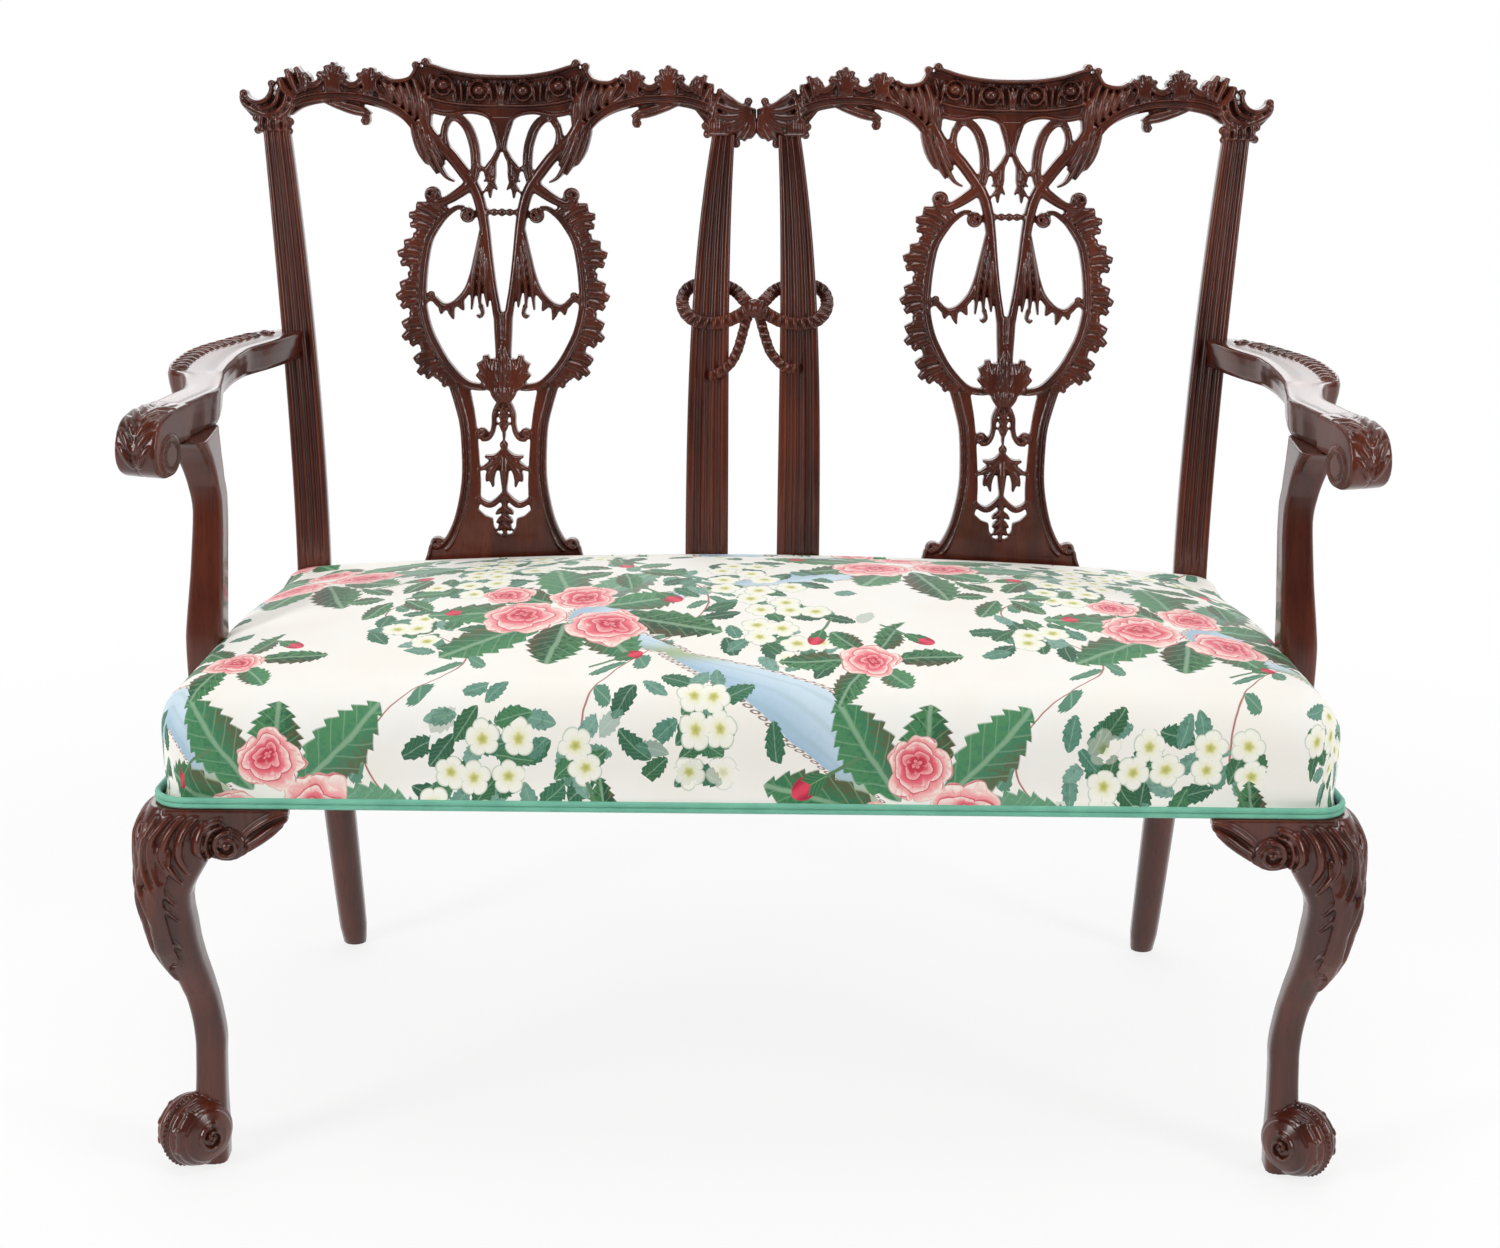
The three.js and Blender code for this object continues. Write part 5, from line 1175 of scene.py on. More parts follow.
def carve_arm(work):
    """The left arm, with its rolled end."""
    rings = []
    line = smooth_line([(y, outer, inner) for y, outer, inner in ARM_PLAN], 5)
    for p in line:
        y, outer, inner = p
        centre, half = (outer + inner) / 2, abs(inner - outer) / 2
        thick = ARM_THICKNESS * (0.86 if y > 300 else 1.0)
        section = [(-1, -4.5), (-0.97, -1.8), (-0.9, -0.4), (-0.7, 0), (-0.3, -0.5), (0.3, -0.5), (0.7, 0),
                   (0.9, -0.4), (0.97, -1.8), (1, -4.5), (0.97, -14), (0.88, -thick + 6),
                   (0.78, -thick + 1.5), (0.66, -thick), (-0.66, -thick), (-0.78, -thick + 1.5),
                   (-0.88, -thick + 6), (-0.97, -14)]
        rings.append([room(centre + u * half, y, ARM_TOP + rise) for u, rise in section])
    sweep(work.mesh, rings)
    turn = math.radians(17)
    eye = (-585.5, 112 + ROOM_Y, ARM_TOP - 42)
    side_way = Vector((math.cos(turn), -math.sin(turn), 0))
    spine = [(-46, 42), (-20, 41.8), (0, 41), (18, 34.5), (28.5, 19), (31, 2), (25.5, -12), (13, -20),
             (0, -21.5), (-12, -17.5), (-19, -7), (-18, 4)]
    roll = Roll(eye, (-math.sin(turn), -math.cos(turn)), spine)
    section = [(-1, -3), (-0.97, -1), (-0.88, 0), (-0.06, 0.2), (0, -0.9), (0.06, 0.2), (0.88, 0),
               (0.97, -1), (1, -3)]
    roll.strip(work.mesh, [20, 21.5, 22, 22, 22, 21], [34, 36, 24, 18, 16, 14, 12, 10], section)
    drum(work.mesh, eye, side_way, 20.3, 44.5)
    for side in (-1, 1):
        hub = Vector(eye) + side_way * (side * 22.3)
        drum(work.mesh, hub, side_way, 11.4, 2.6)
        ring = Carving(end_place(hub, roll.ahead, side_way * side))
        ring.stroke(spiral((0, 0), 16.6, 16.6, 0.99, 0, 1), 6.4, 1.3, low=0.2, back=-3, step=1.6)
        append(work.mesh, ring.mesh)
    # the leaf over the roll, both sides of its middle line
    leaf = Carving(roll.place)
    for side in (-1, 1):
        leaf.side = side
        for i in range(5):
            s = 27 + i * 16
            leaf.stroke([(2.4, s + 21), (8, s + 10), (14, s + 1), (19, s - 2)], [4, 8.4, 9.4, 4],
                        [1.8, 3.8, 3.4, 0.8], low=-2, back=-4, step=1.6)
        leaf.stroke([(2, 26), (10, 20), (13, 8)], [2, 4, 2], [1, 2, 0.6], low=-0.8, back=-3, section=LEAF)
    leaf.side = 1
    leaf.stroke([(0, 6), (0, 40), (0, 110)], [3, 4, 3], [1.2, 2, 1.4], low=-0.6, back=-3, section=LEAF)
    append(work.mesh, leaf.mesh)
    # the leaf along the outer edge, behind
    edge = Track([(outer, y) for y, outer, inner in ARM_PLAN if y >= 298], 3)
    long = edge.lengths[-1]

    def edge_place(inward, s, out):
        at, way = edge.frame(s)
        p = at + way * inward
        return room(p.x, p.y, ARM_TOP + out)

    trim = Carving(edge_place)
    trim.stroke([(4, 30), (3, 120), (3, long - 6)], [3, 4, 4], [0.8, 1.8, 1.6], low=-1.4, back=-4)
    trim.volute((13, 36), 9.5, 1.3, -90, 1, 3.6, 2.4, back=-4)
    for i in range(14):
        s = 56 + i * (long - 70) / 14
        reach = 21 - 3.4 * abs(i - 8) / 8
        trim.stroke([(3, s + 9), (reach * 0.55, s + 8), (reach, s), (reach * 0.96, s - 5)],
                    [4, 8, 8.6, 4], [1.8, 3.8, 3.4, 0.8], low=-1.8, back=-5, step=1.6)
    append(work.mesh, trim.mesh)


def shape_support(target):
    """The left arm support, lapped over the side rail and spread out under the arm."""
    table = [(0, 0, 0, 0.5, 0.5), (0.16, 0, 0, 0.51, 0.5), (0.33, 0, 0, 0.52, 0.5),
             (0.55, -0.12, 0.1, 0.45, 0.48), (0.75, -0.2, 0.19, 0.41, 0.48), (0.84, -0.12, 0.2, 0.43, 0.5),
             (0.91, -0.02, 0.18, 0.47, 0.62), (0.965, 0.1, 0.15, 0.53, 0.84), (1, 0.2, 0.14, 0.58, 1.06)]
    line = smooth_line([(up * 100, out * 100, back * 100) for up, out, back, a, b in table], 2.2)
    heights = [row[0] for row in table]
    rings = []
    top = ARM_TOP - ARM_THICKNESS + 1.5
    for p in line:
        up = min(max(p.x / 100, 0), 1)
        k = next((i for i in range(1, len(heights)) if heights[i] >= up), len(heights) - 1)
        share = (up - heights[k - 1]) / (heights[k] - heights[k - 1])
        wide = table[k - 1][3] + (table[k][3] - table[k - 1][3]) * share
        deep = table[k - 1][4] + (table[k][4] - table[k - 1][4]) * share ** 1.3
        x = -(SUPPORT_X + p.y / 100 * SUPPORT_WIDTH)
        y = SUPPORT_Y + p.z / 100 * SUPPORT_DEPTH
        rings.append([room(x + a * wide * SUPPORT_WIDTH, y + b * deep * SUPPORT_DEPTH,
                           SUPPORT_FOOT + (top - SUPPORT_FOOT) * up) for a, b in rounded_square(28, 0.3)])
    sweep(target, rings)


class SETTEE_OT_arms(bpy.types.Operator):
    """Carves the arms and shapes their supports"""

    bl_idname = "settee.arms"
    bl_label = "Carve the arms"

    def execute(self, context):
        voxel = carving_voxel()
        work = Carving(room)
        carve_arm(work)
        left = work.finish("carved_arm_left", voxel)
        stand = Carving(room)
        shape_support(stand.mesh)
        stand_left = stand.finish("arm_stand_left", voxel * 1.4)
        keep_both(left, "carved_arm", "arm")
        keep_both(stand_left, "arm_stand", "arm_support")
        return {"FINISHED"}


# Front legs

LEG_TABLE = [
    (0.0, -0.6, 0.58), (0.078, -0.72, 0.54), (0.18, -0.88, 0.45), (0.29, -0.97, 0.43), (0.337, -1, 0.44),
    (0.409, -0.84, 0.435), (0.482, -0.5, 0.46), (0.596, 0.26, 0.57), (0.668, 0.6, 0.63), (0.77, 0.86, 0.7),
    (0.865, 0.3, 0.97), (0.933, 0.13, 1.05), (0.968, 0.02, 1.0), (1.0, -0.22, 0.88),
]


def leg_ring(z):
    """The middle and the half width of the leg at a height."""
    up = min(max(z / LEG_HEIGHT, 0), 1)
    k = next((i for i in range(1, len(LEG_TABLE)) if LEG_TABLE[i][0] >= up), len(LEG_TABLE) - 1)
    rows = [LEG_TABLE[min(max(k + d, 0), len(LEG_TABLE) - 1)] for d in (-2, -1, 0, 1)]
    t = (up - rows[1][0]) / (rows[2][0] - rows[1][0])
    swing, half = (eased(*column, t) for column in zip(*[row[1:] for row in rows]))
    return -(FOOT_X + swing * KNEE_SWING), -swing * KNEE_SWING, half * KNEE_HALF


def knee_place(turned):
    """Where carving lies on the knee: x and height as seen from the front, or from the side when turned."""

    def place(x, z, out):
        cx, cy, half = leg_ring(z)
        u = min(max((x - cx) / half, -1.0), 1.0)
        v = (1 - abs(u) ** 3.6) ** (1 / 3.6)
        wide = half + out
        if turned:
            return room(cx - v * wide, cy + u * wide, z)
        return room(cx + u * wide, cy - v * wide, z)

    return place


def carve_leg(work):
    """The left front leg with its knee brackets and its scroll foot."""
    rings = []
    for i in range(53):
        z = LEG_HEIGHT * i / 52
        cx, cy, half = leg_ring(z)
        rings.append([room(cx + a * half, cy + b * half, z) for a, b in rounded_square(32, 0.55)])
    sweep(work.mesh, rings)
    for turned in (False, True):
        knee = Carving(knee_place(turned))
        for line in ([(-516, 378), (-526, 366), (-530, 349), (-525, 336)],
                     [(-528, 380), (-541, 366), (-546, 343), (-538, 322)],
                     [(-541, 380), (-555, 363), (-560, 338), (-544, 312)],
                     [(-553, 380), (-569, 360), (-571, 335), (-564, 307), (-552, 290)],
                     [(-565, 379), (-577, 355), (-576, 321), (-566, 292), (-550, 272)],
                     [(-575, 372), (-584, 341), (-581, 301), (-568, 261), (-549, 239)],
                     [(-583, 363), (-589, 335), (-587, 290), (-576, 240), (-558, 200)]):
            slim = 0.82 if line[-1][1] < 280 else 1.0
            knee.stroke(line, [5 * slim, 7.6 * slim, 8.2 * slim, 7.8 * slim, 2.6], [2.2, 5.6, 6.8, 6.6, 2],
                        low=-3, back=-9, step=3)
        append(work.mesh, knee.mesh)
    carve_foot(work)
    # the brackets, on the front and on the side
    for front in (True, False):
        def place(x, z, out, front=front):
            if front:
                return room(x, -30 - out, z)
            return room(-566 - out, x + 545 - 8, z)

        ear = Carving(place)
        ear.board(
            [(-560, 386), (-441, 386), (-441, 379), (-447, 368), (-460, 359), (-473, 351), (-483, 341),
             (-492, 336), (-506, 334.5), (-518, 338), (-528, 333), (-540, 326), (-560, 330)], 2, -12)
        eye = (-500, 351)
        ear.disc(eye, 16, 4, -10)
        ear.stroke(
            spiral(eye, 14, 6, 1.3, 75, 1), [5.4, 5, 4], [8.4, 9.6, 10.4], low=4.4, back=-8, step=1.6)
        ear.bead(*eye, 6, 4.6)
        for rim, height in ((20.5, 9.4), (26, 9)):
            ear.stroke(arc(eye, rim, (100, 120, 140, 160, 180, 200, 218)), [3, 5.4, 5.6, 3], height, low=2,
                       back=-8)
        for line in ([(-441, 384), (-458, 379), (-474, 369), (-483, 361)],
                     [(-442, 377), (-456, 369), (-470, 359), (-481, 352)],
                     [(-447, 371), (-458, 362.5), (-470, 354), (-481, 346)]):
            ear.stroke(line, [3, 6.4, 7, 5], [4.4, 8, 8.4, 6.4], low=1.6, back=-8)
        append(work.mesh, ear.mesh)


def carve_foot(work):
    """The foot: a ball with ridged bands that roll forward over it, and a volute on both faces."""
    middle = Vector((-551.5, ROOM_Y - 2, 35.5))
    axle = Vector((1, -1, 0)).normalized()
    ahead = Vector((-1, -1, 0)).normalized()

    def radius(s):
        ridge = 3.2 * abs(math.cos(math.pi * s / 9)) ** 0.6 - 2
        return math.sqrt(max(FOOT_RADIUS ** 2 - s * s, 1)) + (ridge if abs(s) < FOOT_FACE else 0)

    def place(s, run, out):
        way = ahead * math.cos(run / 34) + Vector((0, 0, math.sin(run / 34)))
        return (middle + axle * s + way * (radius(s) + out)) * MM

    rings = []
    for i in range(57):
        s = i - 28
        shrink = max(0.0, abs(s) - FOOT_FACE) * 1.6
        rings.append([(middle + axle * s + (ahead * math.cos(a) + Vector((0, 0, math.sin(a)))) *
                       (radius(s) - shrink)) * MM for a in (FULL_TURN * k / 56 for k in range(56))])
    sweep(work.mesh, rings)
    ball = Carving(place)
    for k in range(24):
        ball.bead(0, -40 + k * 4.8, 0.9, 2.0)
    for side in (-1, 1):
        for run in (-8, 14, 36):
            ball.stroke([(side * 12, run - 5), (side * 17, run), (side * 21.5, run + 2)], [4, 8, 4],
                        [0.8, 2.4, 0.8], low=-1.2, back=-6, step=2)
        hub = middle + axle * (side * 27)
        scroll = Carving(end_place(hub, ahead, axle * side))
        scroll.stroke(spiral((0, 0), 15.5, 5.5, 1.3, 110, -1), [5, 4.4, 4], [4.6, 6.4, 7.4], low=-1,
                      back=-6, step=1.6)
        scroll.bead(0, 0, 4, 3)
        append(work.mesh, scroll.mesh)
    append(work.mesh, ball.mesh)


class SETTEE_OT_legs(bpy.types.Operator):
    """Carves the front legs with their knee brackets"""

    bl_idname = "settee.legs"
    bl_label = "Carve the front legs"

    def execute(self, context):
        work = Carving(room)
        carve_leg(work)
        left = work.finish("carved_leg_left", carving_voxel())
        for vert in left.data.vertices:
            vert.co.z = min(max(vert.co.z, 0.0), 386 * MM)
        keep_both(left, "carved_leg", "front_leg", "knee_bracket_front", "knee_bracket_side")
        return {"FINISHED"}


# Seat

def side_face(y):
    """Half the seat's width over the rails at a distance to the back."""
    return SEAT_FRONT_HALF + (SEAT_REAR_HALF - SEAT_FRONT_HALF) * (y - SEAT_FRONT) / SEAT_DEPTH


def crown(x, y):
    """How high the stuffed top stands over the rails."""
    across = min(1, abs(x) / side_face(y))
    run = min(max((y - SEAT_FRONT) / SEAT_DEPTH, 0), 1)
    rear = REAR_RISE + (REAR_CORNER_RISE - REAR_RISE) * across ** 2
    ease = min(max((run - 0.45) / 0.55, 0), 1)
    edge = EDGE_RISE + (rear - EDGE_RISE) * ease * ease * (3 - 2 * ease)
    return edge + (CROWN_RISE - EDGE_RISE) * (1 - across ** 2) * (1 - (2 * run - 1) ** 2)


def seat_surface(segments, out, drop, bottom):
    """The seat's skin as a sheet that is laid over the top and down the sides. Its UV is the flat cloth."""
    work = bmesh.new()
    bmesh.ops.create_grid(work, x_segments=segments[0], y_segments=segments[1], size=1)
    layer = work.loops.layers.uv.new("Cloth")
    wall = RAIL_TOP_MM - bottom
    bend = 0.5 * math.pi * (SEAT_ROLL + EDGE_RISE - drop) / 2
    reach = bend + wall
    flat = {}
    for vert in work.verts:
        s, t = vert.co.x, vert.co.y
        middle = SEAT_FRONT + SEAT_DEPTH / 2
        front_line = SEAT_FRONT - out + SEAT_ROLL
        y_flat = front_line - reach + (t + 1) / 2 * (SEAT_BACK - front_line + reach)
        over_y = max(0, front_line - y_flat)
        y_in = max(y_flat, front_line)
        half = side_face(y_in) + out - SEAT_ROLL
        a = s * (half + reach)
        over_x = max(0, abs(a) - half)
        x_in = min(max(a, -half), half)
        d = max(over_x, over_y)
        size = math.hypot(over_x, over_y) or 1
        nx, ny = math.copysign(over_x, a) / size, -over_y / size
        top = RAIL_TOP_MM + crown(x_in, y_in) - drop
        if d <= bend:
            angle = d / bend * math.pi / 2
            side = SEAT_ROLL * math.sin(angle)
            lift = RAIL_TOP_MM + (top - RAIL_TOP_MM) * math.cos(angle)
            grow = SEAT_SWELL * math.sin(angle)
        else:
            share = (d - bend) / (reach - bend)
            side = SEAT_ROLL
            lift = RAIL_TOP_MM - wall * share
            grow = SEAT_SWELL * max(0.0, math.cos(share * math.pi / 2)) ** 0.7
        vert.co = room(x_in + nx * (side + grow), y_in + ny * (side + grow), lift)
        flat[vert] = (a * MM, (y_flat - middle) * MM)
    for face in work.faces:
        for loop in face.loops:
            loop[layer].uv = flat[loop.vert]
    bmesh.ops.recalc_face_normals(work, faces=work.faces)
    return work


def seat_line(out):
    """The seat's plan from one rear post round the front to the other, let out from the rails."""
    front = SEAT_FRONT - out
    line = [(-(side_face(SEAT_BACK) + out), SEAT_BACK)]
    for run in (0.75, 0.5, 0.25):
        y = front + SEAT_CORNER + (SEAT_BACK - front - SEAT_CORNER) * run
        line.append((-(side_face(y) + out), y))
    for i in range(7):
        angle = math.radians(15 * i)
        centre = side_face(front + SEAT_CORNER) + out - SEAT_CORNER
        line.append((-(centre + SEAT_CORNER * math.cos(angle)),
                     front + SEAT_CORNER - SEAT_CORNER * math.sin(angle)))
    line += [(-380, front), (-190, front)]
    return line + [(0, front)] + [(-x, y) for x, y in reversed(line)]


class SETTEE_OT_seat(bpy.types.Operator):
    """Stuffs and covers the seat"""

    bl_idname = "settee.seat"
    bl_label = "Cover the seat"

    def execute(self, context):
        cover = make_object("printed_cover", seat_surface((150, 84), COVER_OUT, 0, RAIL_BOTTOM + 1))
        cover = puffed(cover, "printed_cover", 5 * MM)
        soft = cover.modifiers.new("Smooth skin", "SUBSURF")
        soft.levels = soft.render_levels = 1
        wall = cover.modifiers.new("Cloth and wadding", "SOLIDIFY")
        wall.thickness = 4 * MM
        wall.offset = -1
        wall.use_rim = True
        cover.data.shade_smooth()
        keep(cover, "seat_cloth", printed_cotton(), "seat_cover")
        inner = seat_surface((60, 40), 1.0, 7.5, RAIL_TOP_MM - 1)
        rim = [e for e in inner.edges if e.is_boundary]
        bmesh.ops.contextual_create(inner, geom=rim)
        bmesh.ops.recalc_face_normals(inner, faces=inner.faces)
        stuffing = make_object("seat_hair", inner)
        stuffing.data.shade_smooth()
        keep(stuffing, "stuffing", cloth("Calico", *CALICO), "seat_stuffing")
        return {"FINISHED"}


def puffed(piece, label, cap):
    """The cover after its cloth has been blown up a little over the stuffing, held along its lower edge."""
    before = [v.co.copy() for v in piece.data.vertices]
    low = min(p.z for p in before)
    group = piece.vertex_groups.new(name="Tacked")
    for vert in piece.data.vertices:
        if (vert.co.z - low) / MM < 6 or vert.co.y > (SEAT_BACK + ROOM_Y - 2) * MM:
            group.add([vert.index], 1.0, "REPLACE")
    sim = piece.modifiers.new("Stuffed cloth", "CLOTH")
    for name, value in {"quality": 5, "mass": 0.3, "tension_stiffness": 25, "compression_stiffness": 18,
                        "shear_stiffness": 6, "bending_stiffness": 0.6, "use_pressure": True,
                        "uniform_pressure_force": 3.0, "shrink_min": 0.012,
                        "vertex_group_mass": "Tacked"}.items():
        setattr(sim.settings, name, value)
    sim.settings.effector_weights.gravity = 0
    sim.collision_settings.use_collision = False
    sim.point_cache.frame_start = 1
    sim.point_cache.frame_end = 20
    scene = bpy.context.scene
    for number in range(1, 21):
        scene.frame_set(number)
    done = settled(piece, label + "_puffed")
    done.name = label
    for vert, start in zip(done.data.vertices, before):
        move = vert.co - start
        if move.length > cap:
            vert.co = start + move.normalized() * cap
    scene.frame_set(1)
    return done


class SETTEE_OT_trimmings(bpy.types.Operator):
    """Sews the double welt and fits the webbing and the dust cover"""

    bl_idname = "settee.trimmings"
    bl_label = "Fit the trimmings"

    def execute(self, context):
        work = bmesh.new()
        cord = 2.9
        section = []
        for centre in (cord, cord * 2.9):
            for i in range(11):
                angle = math.radians(-90 + 18 * i)
                section.append((cord * 1.02 * math.cos(angle), centre + cord * math.sin(angle)))
        section += [(-cord * 0.8, cord * 3.6), (-cord * 0.8, cord * 0.4)]
        line = smooth_line(seat_line(COVER_OUT + 0.9 + cord), 6)
        rings = []
        count = len(line)
        for i, p in enumerate(line):
            run = (line[min(i + 1, count - 1)] - line[max(i - 1, 0)]).normalized()
            rings.append(
                [room(p.x + run.y * out, p.y - run.x * out, RAIL_BOTTOM + up) for out, up in section])
        sweep(work, rings)
        welt = make_object("double_cord_welt", work)
        welt.data.shade_smooth()
        keep(welt, "welt_cloth", welt_cloth(), "double_welt")

        strips = bmesh.new()
        low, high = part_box("webbing")
        for x in [low.x + 0.045 + (high.x - low.x - 0.09) * i / 5 for i in range(6)]:
            woven_strip(strips, (x, low.y + 0.012), (x, high.y - 0.004), 0)
        for i, y in enumerate((0.28, 0.74)):
            at = low.y + (high.y - low.y) * y
            woven_strip(strips, (low.x + 0.02, at), (high.x - 0.02, at), 1)
        jute = make_object("jute_webbing", strips)
        keep(jute, "webbing", cloth("Woven jute", *JUTE, JUTE_THREADS), "webbing")

        low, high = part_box("dust_cover")
        sheet = bmesh.new()
        bmesh.ops.create_grid(sheet, x_segments=60, y_segments=30, size=1)
        for vert in sheet.verts:
            s, t = vert.co.x, vert.co.y
            y = low.y + 0.006 + (t + 1) / 2 * (high.y - low.y - 0.012)
            half = (side_face(y / MM - ROOM_Y) - 24) * MM
            sag = 2.2 * MM * (1 - s ** 4) * (1 - t ** 4)
            vert.co = Vector((s * half, y, low.z + 0.0006 - sag))
        corners = []
        for face in sheet.faces:
            x, y = face.calc_center_median()[:2]
            if abs(x) > 0.455 and (y < low.y + 0.075 or y > high.y - 0.05):
                corners.append(face)
        bmesh.ops.delete(sheet, geom=corners, context="FACES")
        area = sum(f.calc_area() for f in sheet.faces)
        cambric = make_object("cambric_sheet", sheet)
        cambric.data.shade_smooth()
        thick = cambric.modifiers.new("Cloth", "SOLIDIFY")
        thick.thickness = 0.5 * MM
        keep(cambric, "dust_cloth", cloth("Black cambric sheet", *CAMBRIC), "dust_cover")
        width, length = 2 * (side_face(SEAT_FRONT) - 24) * MM, high.y - low.y - 0.012
        return {"FINISHED"}


def woven_strip(target, start, end, order):
    """A strip of webbing that passes over and under those that cross it."""
    a, b = Vector(start), Vector(end)
    run = (b - a).normalized()
    across = Vector((-run.y, run.x)) * 25 * MM
    count = 40
    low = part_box("webbing")[0].z
    rings = []
    for i in range(count + 1):
        p = a.lerp(b, i / count)
        lift = 1.5 * MM + (0.9 if order else -0.9) * MM * (0.5 + 0.5 * math.cos(i * 1.1))
        rings.append([Vector((*(p + across * s), low + lift + up)) for s, up in
                      ((-1, 0), (-0.96, 0.9 * MM), (0.96, 0.9 * MM), (1, 0))])
    sweep(target, rings)


def welt_cloth():
    """Jade cotton, cut on the bias, so that its weave runs slantwise round the cords."""
    finish = Finish("Jade bias cotton")
    place = finish.place()
    split = finish.parts(place)
    around = split[0] + split[1]
    weave = finish.woven(around + split[2], around - split[2], WELT_THREADS)
    cloud = finish.noise(place, 30, 4, 0.6)[0]
    colours = bpy.context.scene.settee_colours
    dye_and_weave_shade = finish.mix(finish.range(cloud, 0.3, 0.75) * 0.6, tuple(colours.welt), (0.10, 0.36, 0.25))
    # painted shade: darker green where the weave's bump is low, between the threads
    dye_and_weave_shade = finish.mix(finish.range(weave, -0.6, 0.8, 0.25, 0.0), dye_and_weave_shade, (0.06, 0.24, 0.17))
    finish.shader.inputs["Sheen Weight"].default_value = 0.25
    return finish.done(base_color=dye_and_weave_shade, roughness=0.7, normal=finish.bump(weave, 0.3, 0.0002))


def printed_cotton():
    """Glazed cotton printed with roses, leaves, blossom, ribbon and vines on a cream ground."""
    finish = Finish("Printed cotton")
    flat = finish.node("ShaderNodeTexCoord")["UV"]
    wobble = finish.noise(flat, 26, 2, 0.5)["Color"]
    uv = finish.vector("MULTIPLY_ADD", wobble, (0.007, 0.007, 0), flat)["Vector"]
    ink = finish.noise(flat, 190, 3, 0.6)[0]
    colour = finish.mix(
        finish.range(finish.noise(flat, 9, 2, 0.5)[0], 0.35, 0.7), (0.9, 0.868, 0.8), (0.91, 0.892, 0.845))
    colour = vine(finish, uv, colour)
    colour = ribbon_print(finish, uv, colour, ink)
    # leaves strewn round the hanging bunches of blossom, and the blossom itself
    bunches = [(0.02, -0.03, 0, 0.058), (0.035, -0.1, 0, 0.055), (0.04, -0.165, 0, 0.04),
               (-0.01, 0.04, 0, 0.046), (-0.27, 0.085, 0, 0.058), (-0.245, 0.15, 0, 0.05),
               (-0.295, 0.01, 0, 0.046), (-0.04, 0.19, 0, 0.05), (0.285, -0.13, 0, 0.044),
               (-0.16, 0.16, 0, 0.03)]
    for scale, share, tones in ((23.0, 1.7, ((0.035, 0.17, 0.085), (0.012, 0.085, 0.04))),
                                (28.0, 1.6, ((0.2, 0.38, 0.31), (0.05, 0.2, 0.13))),
                                (25.0, 1.3, ((0.05, 0.2, 0.08), (0.02, 0.11, 0.04)))):
        colour = scatter(finish, uv, colour, scale, bunches, share, tones, ink)
    colour = blossom(finish, uv, colour, 30.0, bunches, 0.86)
    # the sprays of large leaves and the roses on them
    sprays = ([(-0.175, -0.085, 0.35, 0.158), (0.165, 0.1, 1.3, 0.148)],
              [(0.12, -0.19, 2.0, 0.088), (-0.13, 0.06, 0.4, 0.08), (0.26, -0.02, 0.9, 0.07)])
    for places, leaves in zip(sprays, (9, 6)):
        colour = spray(finish, uv, colour, places, leaves, ink)
    roses = [(-0.225, -0.10, 0.3, 0.044), (-0.142, -0.125, 1.9, 0.041), (-0.168, -0.045, 3.6, 0.036),
             (-0.245, -0.03, 5.0, 0.028), (0.13, 0.08, 1.2, 0.043), (0.208, 0.105, 4.4, 0.04),
             (0.165, 0.155, 0.2, 0.032), (0.118, -0.192, 2.8, 0.031)]
    colour = rose(finish, uv, colour, roses, ink)
    buds = [(-0.085, -0.045, 0.9, 0.026), (-0.285, -0.075, 2.7, 0.022), (0.065, 0.14, 2.6, 0.026),
            (0.268, 0.05, -0.6, 0.023), (0.165, -0.145, 0.7, 0.022), (0.07, -0.145, 1.9, 0.022),
            (-0.135, 0.095, 1.2, 0.024), (-0.12, -0.19, -0.5, 0.02)]
    colour = bud(finish, uv, colour, buds)
    split = finish.parts(flat)
    weave = finish.woven(split[0], split[1], PRINT_THREADS)
    finish.shader.inputs["Sheen Weight"].default_value = 0.1
    finish.shader.inputs["Sheen Roughness"].default_value = 0.4
    return finish.done(base_color=colour, roughness=0.6, normal=finish.bump(weave, 0.12, 0.0001))


def nearest(finish, at, places):
    """The way from the nearest of the places (x, y, turn, size) on the cloth, and how long it is."""
    half = (REPEAT[0] / 2, REPEAT[1] / 2, 1.0)
    best = least = None
    for x, y, turn, size in places:
        away = finish.vector("SUBTRACT", at, (x, y, 0))["Vector"]
        folded = finish.vector("WRAP", away, half, tuple(-h for h in half))["Vector"]
        local = finish.moved(folded, turn=turn, scale=(1 / size, 1 / size, 1))
        far = finish.vector("LENGTH", local)["Value"]
        if best is None:
            best, least = local, far
            continue
        nearer = far.step("LESS_THAN", least)
        best = finish.mix_vector(nearer, best, local)
        least = far.step("MINIMUM", least)
    return best, least


def leaf_shape(finish, along, across, half, teeth):
    """Where a toothed leaf is, and where its ribs are. It runs from 0 to 1 along."""
    bulge = (along * (1 - along) * 4).step("MAXIMUM", 0.0) ** 0.8
    saw = (along * teeth - across * teeth * 0.5).step("FRACT") * half * 0.2
    inside = finish.cut(bulge * half - saw - across, 0.0, 0.012)
    slant = (along * 7 - across * 9).step("FRACT")
    ribs = finish.cut(slant, 0.0, 0.16, 0.75, 0.0)
    ribs = ribs.step("MAXIMUM", finish.cut(across, 0.008, 0.022, 1.0, 0.0))
    return inside, ribs


